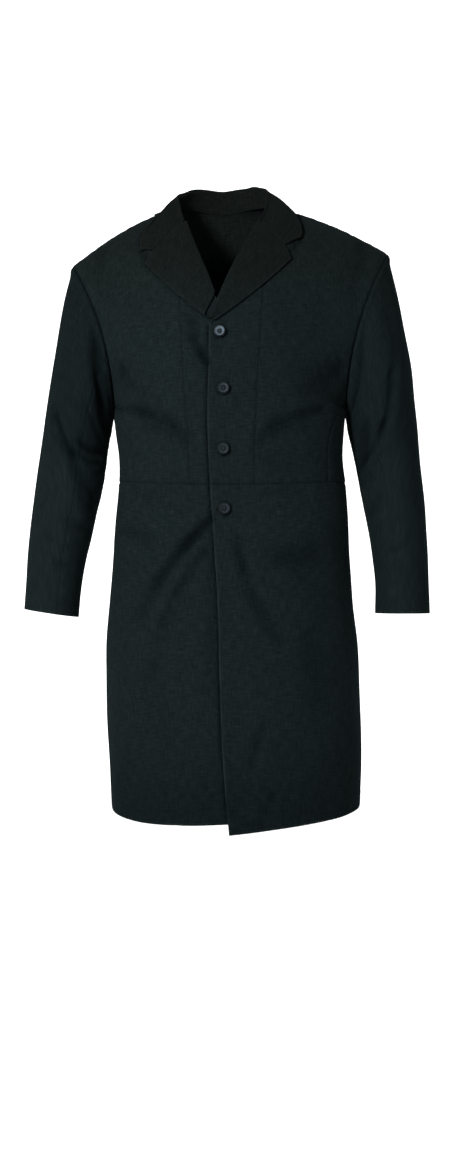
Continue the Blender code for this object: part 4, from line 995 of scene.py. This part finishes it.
def collar_station(side, place):
    face, level, fold_in, edge_face = NECK_STATIONS[place]
    fold_up, edge_x, edge_z = COLLAR[side][place]
    level = one(level)
    share = front_edge_share(side, level) if face == FRONT else back_neck_share(side, level)
    seam, normal = coat_point(side, np.array([face]), level, share)
    seam, normal = seam[0], normal[0]
    gorge = float(ease(place / 2.5))
    inward = unit((NECK_MIDDLE - seam) * np.array([1.0, 1.0, 0.0]))
    rise = unit(normal + (np.array([0, 0, 1.0]) - normal) * gorge)
    low_out = np.array([side * 0.8, -0.2, -0.55])
    outward = unit(-inward + (low_out + inward) * (1 - gorge))
    fold = seam + rise * fold_up + inward * fold_in
    width = 2 * CLOTH + FOLD_GAP * max(gorge, 0.15)
    swell = FALL_SWELL * math.sin(math.pi * min(place, 7) / 7)
    height = CLOTH + FALL_LIFT - BACK_DROP * gorge + swell
    edge, up = (a[0] for a in over_coat(side, edge_face, one(edge_x), one(edge_z), one(height)))
    over = fold + outward * width - rise * width * 0.5
    middle = (over + edge) / 2
    if place == 0:
        notch_x, notch_z = NOTCH[side]
        middle = over_coat(side, FRONT, one(notch_x), one(notch_z), one(CLOTH + FALL_LIFT))[0][0]
    foot = seam + rise * (0.0006 - 0.0028 * gorge) - outward * 0.0004
    visible = [foot, 0.5 * (foot + fold), fold - rise * width * 0.4,
               fold + outward * width * 0.3 + rise * 0.0004, over,
               0.5 * (over + middle) + up * swell, middle + up * swell,
               0.5 * (middle + edge) + up * swell * 0.6, edge]
    lean = [outward, outward, outward, unit(outward - rise), -outward, -up, -up, -up, -up]
    hidden = [v + d * CLOTH for v, d in zip(visible, lean)]
    return np.array(visible), np.array(hidden)


def under_tree():
    """The outer faces of the panels that the collar lies over."""
    points, faces = [], []
    for label in ("front", "side_front", "back"):
        for side_name in SIDE_NAMES.values():
            mesh = bpy.data.objects[f"{label}_{side_name}" + FINE].data
            start = len(points)
            limit = mesh["outer_points"]
            points += [tuple(v.co) for v in mesh.vertices]
            faces += [[start + i for i in face.vertices] for face in mesh.polygons
                      if max(face.vertices) < limit]
    return BVHTree.FromPolygons(points, faces)


def make_collar(cloth):
    last = len(NECK_STATIONS) - 1
    stations = ([collar_station(RIGHT, place) for place in range(last + 1)]
                + [collar_station(LEFT, place) for place in range(last - 1, -1, -1)])
    visible = np.array([s[0] for s in stations])
    hidden = np.array([s[1] for s in stations])
    places = np.arange(len(stations), dtype=float)
    fine = places[-1] * stops(0.50, 0.0045)
    visible, hidden = (refine(g, places, fine, 0) for g in (visible, hidden))
    tree = under_tree()
    lift = FALL_LIFT - BACK_DROP * ease(np.minimum(fine, places[-1] - fine) / 2.5)
    for r in range(len(fine)):
        for k in range(FALL_START, visible.shape[1]):
            near, normal, _, _ = tree.find_nearest(Vector(hidden[r, k]))
            height = (Vector(hidden[r, k]) - near).dot(normal)
            move = np.array(normal) * max(lift[r] - height, 0.0)
            visible[r, k] += move
            hidden[r, k] += move
    steps = np.concatenate([[0], np.cumsum(
        np.linalg.norm(np.diff(visible.mean(axis=0), axis=0), axis=1))])
    across = steps[-1] * np.unique(np.concatenate([
        steps / steps[-1], stops(steps[-1], 0.0036), np.linspace(0.25, 0.6, 18)]))
    visible, hidden = (refine(g, steps, across, 1) for g in (visible, hidden))
    fall = ease((across - steps[5]) / 0.015)[None, :, None]
    wave = 0.0007 * slow_noise(visible, 47, 0.08)[..., None] * fall
    visible, hidden = visible + wave, hidden + wave
    piece = shell("collar", visible, hidden, cloth, rounded=0.0006, raw=("out",), rub_and_highlight=0.5)
    note_sheet("collar", piece, visible)


# ---- buttons, buttonholes and stitches -----------------------------------------------------
BUTTON_PLACES = ((-0.0165, -0.2240), (-0.0110, -0.3130), (-0.0107, -0.4065), (-0.0092, -0.5000))
BUTTON_RADIUS, BUTTON_HEIGHT = 0.010, 0.0042
BUTTON_LIFT = 0.0006
BUTTON_RINGS = (                      # share of the radius, share of the height
    (0.50, 0.42), (0.58, 0.50), (0.66, 0.72), (0.74, 0.93), (0.82, 1.00), (0.90, 0.97),
    (0.97, 0.80), (1.00, 0.52), (0.97, 0.26), (0.88, 0.08), (0.70, 0.00), (0.50, 0.00),
)
BUTTON_SIDES, PLATE_SIDES = 64, 16
BUTTON_TIPS = (0.03, -0.05, 0.04, -0.02)    # how far each button is tipped sideways
PLATE_TOP = BUTTON_RINGS[0][1] * BUTTON_HEIGHT
HOLE_RADIUS, HOLE_OFFSET = 0.0010, 0.0019
BUTTON_HIGHLIGHT = (1.0, 0.27, 0.18, 0.16)    # how strongly each button's painted highlight shows, from the top; the top one stands in for a reflection
# Painted highlight, ring by ring from the dish out to the rim and back under, and on the plate's
# loops; the outer rim, underside and holes keep the dark horn.
BUTTON_RING_HIGHLIGHT = (0.85, 1.0, 0.90, 0.45, 0.05, 0.0, 0.0, 0.0, 0.0, 0.0, 0.0, 0.0)
PLATE_HIGHLIGHT = (0.0, 0.40, 0.3, 0.0)
THREAD = 0.00030          # radius of the sewing thread
STRANDS = (-0.00035, 0.0, 0.00035)          # how far apart a button's strands lie
HOLE_SHIFT = 0.0145       # from a button's middle to its buttonhole's
HOLE_HALF, HOLE_STITCHES = 0.0085, 27       # half length, stitches on each side of the cut
HOLE_NEAR, HOLE_FAR = 0.00025, 0.0020       # how far from the cut a stitch starts and ends
STITCH_PITCH = 0.0085
HEM_ROW, CUFF_ROW = HEM + 0.33, CUFF - 0.38    # level and ring of the rows of small stitches


def spot_at(x, z):
    """A place on the left front: its point, the ways across, up and outward there."""
    point, normal = (a[0] for a in over_coat(LEFT, FRONT, one(x), one(z), one(0.0)))
    up = unit(np.array([0, 0, 1.0]) - normal * normal[2])
    return point, np.cross(up, normal) * -1.0, up, normal


def place_points(points, spot):
    origin, x_way, y_way, z_way = spot
    p = np.array(points)
    return origin + p[:, :1] * x_way + p[:, 1:2] * y_way + p[:, 2:3] * z_way


def on_circle(radius, turn, centre=(0.0, 0.0)):
    return np.array(centre) + radius * np.array([math.cos(turn), math.sin(turn)])


def tube_faces(rings, sides):
    """Faces that join each ring of points to the next one, and the last to the first."""
    faces = []
    for r in range(rings):
        here, after = r * sides, (r + 1) % rings * sides
        faces += [(here + k, here + (k + 1) % sides, after + (k + 1) % sides, after + k)
                  for k in range(sides)]
    return faces


class Bits:
    """Many small closed forms that end up as one mesh."""

    def __init__(self):
        self.points, self.faces, self.count = [], [], 0

    def add(self, points, faces):
        self.points.append(np.asarray(points, dtype=float))
        self.faces += [tuple(int(i) + self.count for i in face) for face in faces]
        self.count += len(points)

    def rod(self, path, radius, sides=6):
        """A closed rod along a path of points, its ends drawn to a point."""
        path = np.asarray(path, dtype=float)
        ways = unit(np.gradient(path, axis=0))
        aside = np.array([0.0, -1.0, 0.2]) if abs(ways[0][1]) < 0.8 else np.array([1.0, 0, 0])
        points, faces = [path[0]], []
        turn = 2 * math.pi * np.arange(sides) / sides
        thick = radius * np.concatenate([[0.7], np.ones(len(path) - 2), [0.7]])
        for p, way, r in zip(path, ways, thick):
            a = unit(np.cross(way, aside))
            b = np.cross(way, a)
            points += [p + r * (math.cos(t) * a + math.sin(t) * b) for t in turn]
        points.append(path[-1])
        for k in range(sides):
            after = (k + 1) % sides
            faces.append((0, 1 + after, 1 + k))
            last = 1 + (len(path) - 1) * sides
            faces.append((last + k, last + after, len(points) - 1))
            for r in range(len(path) - 1):
                a = 1 + r * sides
                faces.append((a + k, a + after, a + sides + after, a + sides + k))
        self.add(points, faces)

    def piece(self, name, material):
        points = np.concatenate(self.points)
        item = make_mesh(name, points.tolist(), self.faces, material)
        item.data.shade_smooth()
        item.data.set_sharp_from_angle(angle=math.radians(50))
        return item


def add_thread(bits, name, thread):
    piece = bits.piece(name, thread)
    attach(piece, BODY)


def add_plate(bits, spot):
    """The dished middle of a button: a quarter of a plate round each of four holes."""
    for quarter in range(4):
        middle_turn = math.radians(45 + 90 * quarter)
        centre = on_circle(HOLE_OFFSET, middle_turn)
        turns = [middle_turn + 2 * math.pi * k / PLATE_SIDES for k in range(PLATE_SIDES)]
        hole = [on_circle(HOLE_RADIUS, t, centre) for t in turns]
        rim = [quarter_edge(centre, on_circle(1.0, t), middle_turn) for t in turns]
        points = [(*p, height) for loop, height in ((hole, PLATE_TOP), (rim, PLATE_TOP),
                                                    (rim, 0.0), (hole, 0.0)) for p in loop]
        bits.add(place_points(points, spot), tube_faces(4, PLATE_SIDES))


def quarter_edge(centre, way, middle_turn):
    """Where a ray from a hole's middle meets the edge of its quarter of the plate."""
    outer = BUTTON_RINGS[0][0] * BUTTON_RADIUS
    reach = [-(centre @ way) + math.sqrt(max((centre @ way) ** 2 - centre @ centre
                                             + outer ** 2, 0.0))]
    for turn in (middle_turn - math.pi / 4, middle_turn + math.pi / 4):
        line = np.array([-math.sin(turn), math.cos(turn)])
        slope = line @ way
        if abs(slope) > 1e-9:
            t = -(centre @ line) / slope
            if t > 0:
                reach.append(t)
    return centre + way * min(reach)


def button_thread(spot):
    """Three strands each way between opposite holes."""
    sewn = Bits()
    s = np.linspace(0, 1, 9)
    for k in (0, 1):
        a, b = math.radians(45 + 90 * k), math.radians(225 + 90 * k)
        lift = PLATE_TOP + 0.0003 + 0.0003 * np.sin(np.pi * s) + 0.0002 * k
        lift[0] = lift[-1] = PLATE_TOP + 0.0003 - 0.0016
        for shift in STRANDS:
            aside = np.array([-math.sin(a), math.cos(a)]) * shift
            start, end = (on_circle(HOLE_OFFSET, t) + aside for t in (a, b))
            path = [np.append(start + (end - start) * t, h) for t, h in zip(s, lift)]
            sewn.rod(place_points(path, spot), THREAD)
    return sewn


def make_buttons(horn, thread):
    made = []
    rings = [(r * BUTTON_RADIUS, h * BUTTON_HEIGHT) for r, h in BUTTON_RINGS]
    for number, (x, z) in enumerate(BUTTON_PLACES, start=1):
        point, x_way, _, normal = spot_at(x, z)
        normal = unit(normal + x_way * BUTTON_TIPS[number - 1])
        x_way = unit(x_way - normal * (x_way @ normal))
        spot = (point + normal * BUTTON_LIFT, x_way, np.cross(normal, x_way), normal)
        bits = Bits()
        points = [(*on_circle(radius, 2 * math.pi * k / BUTTON_SIDES), height)
                  for radius, height in rings for k in range(BUTTON_SIDES)]
        bits.add(place_points(points, spot), [(a, d, c, b) for a, b, c, d in
                                              tube_faces(len(rings), BUTTON_SIDES)])
        add_plate(bits, spot)
        button = bits.piece(f"button_{number}" + FINE, horn)
        # The button's painted highlight, kept in the same attribute as the cloth's pale edges.
        tones = [np.repeat(BUTTON_RING_HIGHLIGHT, BUTTON_SIDES),
                 np.tile(np.repeat(PLATE_HIGHLIGHT, PLATE_SIDES), 4)]
        point_values(button, "wear_and_highlight", BUTTON_HIGHLIGHT[number - 1] * np.concatenate(tones))
        made.append((number, button))
        add_thread(button_thread(spot), f"button_thread_{number}", thread)
    return made


def make_buttonholes(thread):
    """Worked slits beside the buttons: a bar of close stitches on both sides of each cut."""
    bits = Bits()
    end, near, far = HOLE_HALF, HOLE_NEAR, HOLE_FAR
    for x, z in BUTTON_PLACES:
        spot = spot_at(x - HOLE_SHIFT, z)
        for row in (-1, 1):
            for k in range(HOLE_STITCHES):
                s = -end + 2 * end * k / (HOLE_STITCHES - 1)
                path = [(s, row * near, 0.0002), (s, row * (near + far) / 2, 0.00065),
                        (s, row * far, 0.0001)]
                bits.rod(place_points(path, spot), THREAD, 5)
        for x_end in (-end, end):
            path = [(x_end, -0.0016, 0.0001), (x_end, 0, 0.0008), (x_end, 0.0016, 0.0001)]
            bits.rod(place_points(path, spot), 0.0004, 5)
    add_thread(bits, "buttonhole_stitches", thread)


def stitch_row(bits, points, normals, reach, radius):
    """Small raised stitches along a path on the cloth."""
    run = np.concatenate([[0], np.cumsum(np.linalg.norm(np.diff(points, axis=0), axis=1))])
    for k in range(1, int(run[-1] / STITCH_PITCH)):
        place = k * STITCH_PITCH + np.array([-0.5, 0.0, 0.5]) * reach
        here = np.stack([np.interp(place, run, points[:, a]) for a in range(3)], axis=1)
        out = unit(np.stack([np.interp(place, run, normals[:, a]) for a in range(3)], axis=1))
        here = here + out * np.array([[-0.0001], [radius * 0.9], [-0.0001]])
        bits.rod(here, radius, 4)


def make_stitching(thread):
    """Felled hems and worked edges: rows of small stitches that show on the right side."""
    bits = Bits()
    for side in (RIGHT, LEFT):
        level = np.full(160, HEM_ROW)
        edge = front_edge_share(side, level[:1])[0]
        share = np.concatenate([np.linspace(edge + 0.03, 1, 80), np.linspace(1, 0.12, 80)])
        points, normals = coat_point(side, np.repeat([FRONT, BACK], 80), level, share)
        stitch_row(bits, points, normals, 0.0016, 0.00028)
        ring, turn = np.full(120, CUFF_ROW), np.linspace(0, 360, 120)
        _, points, normals = sleeve_places(side, ring, turn)
        stitch_row(bits, points, normals, 0.0015, 0.00026)
    add_thread(bits, "hem_stitches", thread)


# ---- materials -----------------------------------------------------------------------------
class Shader:
    """A node material being put together; inputs are values or other nodes' outputs."""

    def __init__(self, name, inputs):
        self.material = bpy.data.materials.new(name)
        self.material.use_nodes = True
        self.tree = self.material.node_tree
        self.surface(inputs)

    def feed(self, node, inputs):
        for socket, value in inputs.items():
            if isinstance(value, bpy.types.NodeSocket):
                self.tree.links.new(value, node.inputs[socket])
            else:
                node.inputs[socket].default_value = value

    def surface(self, inputs):
        self.feed(self.tree.nodes["Principled BSDF"], inputs)

    def node(self, kind, inputs, output=0, **settings):
        node = self.tree.nodes.new("ShaderNode" + kind)
        for name, value in settings.items():
            setattr(node, name, value)
        self.feed(node, inputs)
        return node.outputs[output]

    def place(self):
        return self.node("TexCoord", {}, "Object")

    def noise(self, source, scale, detail=2.0):
        vector = self.node("Mapping", {"Vector": source, "Scale": scale})
        return self.node("TexNoise", {"Vector": vector, "Scale": 1.0, "Detail": detail,
                                      "Roughness": 0.6}, "Fac")

    def maths(self, operation, a, b):
        return self.node("Math", {0: a, 1: b}, operation=operation)

    def attribute(self, name):
        return self.node("Attribute", {}, "Fac", attribute_name=name)

    def mix(self, blend, factor, a, b):
        a, b = (v if isinstance(v, bpy.types.NodeSocket) else (*v, 1.0) for v in (a, b))
        return self.node("Mix", {"Factor": factor, 6: a, 7: b}, 2, data_type="RGBA",
                         blend_type=blend)

    def ramp(self, factor, colours):
        output = self.node("ValToRGB", {"Fac": factor})
        elements = output.node.color_ramp.elements
        while len(elements) < len(colours):
            elements.new(0.5)
        for element, (place, colour) in zip(elements, colours):
            element.position, element.color = place, (*colour, 1.0)
        return output

    def bump(self, height, strength, distance):
        return self.node("Bump", {"Height": height, "Strength": strength,
                                  "Distance": distance})


CLOTH_DARK = np.array((0.0015, 0.0028, 0.0030))
CLOTH_MIDDLE = np.array((0.0041, 0.0066, 0.0069))
CLOTH_LIGHT = np.array((0.0082, 0.0118, 0.0122))
PAINTED_SHOULDER_LIGHT = (0.97, 0.86, 0.77)      # painted light: the cloth is painted darker and warmer towards the shoulders
PAINTED_SHADE_TINT = (0.30, 0.32, 0.33)          # painted shade: the colour in a fold, a seam's groove or a painted shadow
RUB_AND_HIGHLIGHT_TINT = (0.0036, 0.0045, 0.0048)    # what rubbing and a painted highlight on the lit lip add at a raw edge
HORN_DARK = (0.0035, 0.0048, 0.0056)


def cloth_material(name, tone):
    """Plain woven cotton: uneven threads both ways, a matt face with a faint bloom."""
    cloth = Shader(name, {"Roughness": 0.92, "Specular IOR Level": 0.0, "Sheen Weight": 0.01,
                          "Sheen Roughness": 0.55, "Sheen Tint": (0.60, 0.80, 0.86, 1.0)})
    uv = cloth.node("UVMap", {}, uv_map="cloth")
    threads = cloth.maths("ADD", cloth.noise(uv, (1400.0, 60.0, 1.0)),
                          cloth.noise(uv, (70.0, 1300.0, 1.0)))
    slub = cloth.noise(uv, (60.0, 480.0, 1.0), 0.0)
    uneven = cloth.maths("ADD", slub, cloth.noise(uv, (480.0, 50.0, 1.0), 0.0))
    weave = cloth.maths("ADD", cloth.maths("MULTIPLY", threads, 0.26),
                        cloth.maths("MULTIPLY", uneven, 0.11))
    tones = [colour * np.array(tone) for colour in (CLOTH_DARK, CLOTH_MIDDLE, CLOTH_LIGHT)]
    colour = cloth.ramp(weave, list(zip((0.25, 0.37, 0.49), tones)))
    # Painted light: darker and warmer towards the shoulders.
    up = cloth.node("SeparateXYZ", {0: cloth.place()}, "Z")
    high = cloth.node("MapRange", {"Value": up, "From Min": -0.22, "From Max": -0.04})
    colour = cloth.mix("MULTIPLY", high, colour, PAINTED_SHOULDER_LIGHT)
    # Painted shade from the fold attribute: creases, seam grooves, shadows, the hem and the
    # sleeves.
    colour = cloth.mix("MULTIPLY", cloth.attribute("fold"), colour, PAINTED_SHADE_TINT)
    # Pale raw edges: part rubbing, part painted highlight.
    colour = cloth.mix("ADD", cloth.attribute("wear_and_highlight"), colour, RUB_AND_HIGHLIGHT_TINT)
    raised = cloth.bump(cloth.maths("ADD", threads, slub), 0.35, 0.0003)
    cloth.surface({"Base Color": colour, "Normal": raised})
    return cloth.material


def thread_material(name, tone):
    thread = Shader(name, {"Roughness": 0.75, "Sheen Weight": 0.02,
                           "Specular IOR Level": 0.05})
    twist = thread.noise(thread.place(), (900.0, 900.0, 900.0))
    thread.surface({"Base Color": thread.ramp(twist, ((0.35, tone * CLOTH_DARK),
                                                      (0.65, tone * CLOTH_MIDDLE)))})
    return thread.material


def horn_material():
    horn = Shader("button_horn_fine", {"Roughness": 0.5, "Specular IOR Level": 0.02})
    cloud = horn.noise(horn.place(), (160.0, 160.0, 420.0), 4.0)
    # The paler horn colours are painted highlight; where the mask is low the button keeps its dark
    # horn colour.
    colour = horn.ramp(cloud, ((0.30, (0.0490, 0.0650, 0.0800)),
                               (0.55, (0.0680, 0.0890, 0.1080)),
                               (0.80, (0.0930, 0.1180, 0.1400))))
    colour = horn.mix("MIX", horn.attribute("wear_and_highlight"), HORN_DARK, colour)
    horn.surface({"Base Color": colour, "Normal": horn.bump(cloud, 0.08, 0.0004)})
    return horn.material


# ---- stage, lights and camera --------------------------------------------------------------
FLOOR_Z = -1.58
CAMERA_PLACE, CAMERA_LENS, CAMERA_SENSOR = (-0.0081, -3.295, -0.6237), 60.46, 36.0
WORLD_STRENGTH = 0.2
BOX_FACES = [(3, 2, 1, 0), (4, 5, 6, 7), (0, 1, 5, 4), (1, 2, 6, 5), (2, 3, 7, 6), (3, 0, 4, 7)]
WHITE = (1.0, 1.0, 1.0, 1.0)
COAT_MIDDLE = Vector((0.0, 0.0, -0.45))
LIGHTS = (                # name, place, width and height, watts
    ("key", (-1.1, -2.0, 0.35), (0.45, 0.45), 102.0),
    ("second", (1.4, -2.9, 0.5), (0.8, 0.8), 20.0),
    ("top", (0.2, 0.2, 2.6), (1.8, 1.4), 8.0),
    ("back_left", (2.4, 2.6, 1.2), (1.6, 2.0), 100.0),
    ("back_right", (-2.6, 2.6, 0.6), (1.6, 2.0), 45.0),
)


def stage_box(name, low, high, material):
    corners = [(x, y, z) for z in (low[2], high[2]) for x, y in
               ((low[0], low[1]), (high[0], low[1]), (high[0], high[1]), (low[0], high[1]))]
    make_mesh(name, corners, BOX_FACES, material)


def make_stage():
    pale = Shader("pale_floor", {"Roughness": 0.9, "Specular IOR Level": 0.1,
                                 "Emission Color": WHITE, "Emission Strength": 0.3})
    cloud = pale.noise(pale.place(), (2.0, 2.0, 2.0), 3.0)
    pale.surface({"Base Color": pale.ramp(cloud, ((0.3, (0.90, 0.90, 0.90)),
                                                  (0.7, (0.94, 0.94, 0.94))))})
    stage_box("floor", (-30.0, -30.0, FLOOR_Z - 0.02), (30.0, 30.0, FLOOR_Z), pale.material)
    glow = Shader("pale_backdrop", {"Roughness": 1.0, "Base Color": (0.9, 0.9, 0.9, 1.0),
                                    "Emission Color": WHITE, "Emission Strength": 0.9})
    stage_box("backdrop", (-7.0, 6.0, FLOOR_Z), (7.0, 6.05, 5.0), glow.material)


def make_lights():
    for name, place, size, power in LIGHTS:
        light = bpy.data.lights.new(name, "AREA")
        light.shape = "RECTANGLE"
        light.size, light.size_y = size
        light.energy = power
        item = place_in_scene(name, light)
        item.location = place
        way = COAT_MIDDLE - Vector(place)
        item.rotation_euler = way.to_track_quat("-Z", "Y").to_euler()
    world = bpy.data.worlds.new("studio")
    world.use_nodes = True
    background = world.node_tree.nodes["Background"]
    background.inputs["Color"].default_value = WHITE
    background.inputs["Strength"].default_value = WORLD_STRENGTH
    bpy.context.scene.world = world
    bpy.context.scene.view_settings.view_transform = "Standard"
    bpy.context.scene.view_settings.look = "None"


def make_camera():
    camera = bpy.data.cameras.new("camera")
    camera.lens = CAMERA_LENS
    camera.sensor_width = CAMERA_SENSOR
    camera.dof.use_dof = False
    item = place_in_scene("camera", camera)
    item.location = CAMERA_PLACE
    item.rotation_euler = (math.radians(90), 0, 0)
    bpy.context.scene.camera = item


# ---- putting it together -------------------------------------------------------------------
def main():
    cloth = cloth_material("coat_cloth_fine", (1.0, 1.0, 1.0))
    turned_back = cloth_material("coat_cloth_facing", (0.80, 0.74, 0.70))
    thread = thread_material("coat_thread", 1.0)
    pale_thread = thread_material("coat_thread_pale", 4.0)
    for side in (RIGHT, LEFT):
        make_bodice(side, cloth)
        make_skirt(side, cloth)
        make_sleeve(side, cloth)
        make_lapel(side, turned_back)
    make_collar(turned_back)
    for node, piece, width, length, area in SHEETS:
        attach(piece, BODY)
        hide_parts(node)
    for number, piece in make_buttons(horn_material(), pale_thread):
        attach(piece, BODY)
        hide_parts(f"button_{number}")
    make_buttonholes(thread)
    make_stitching(thread)
    make_stage()
    make_lights()
    make_camera()


main()
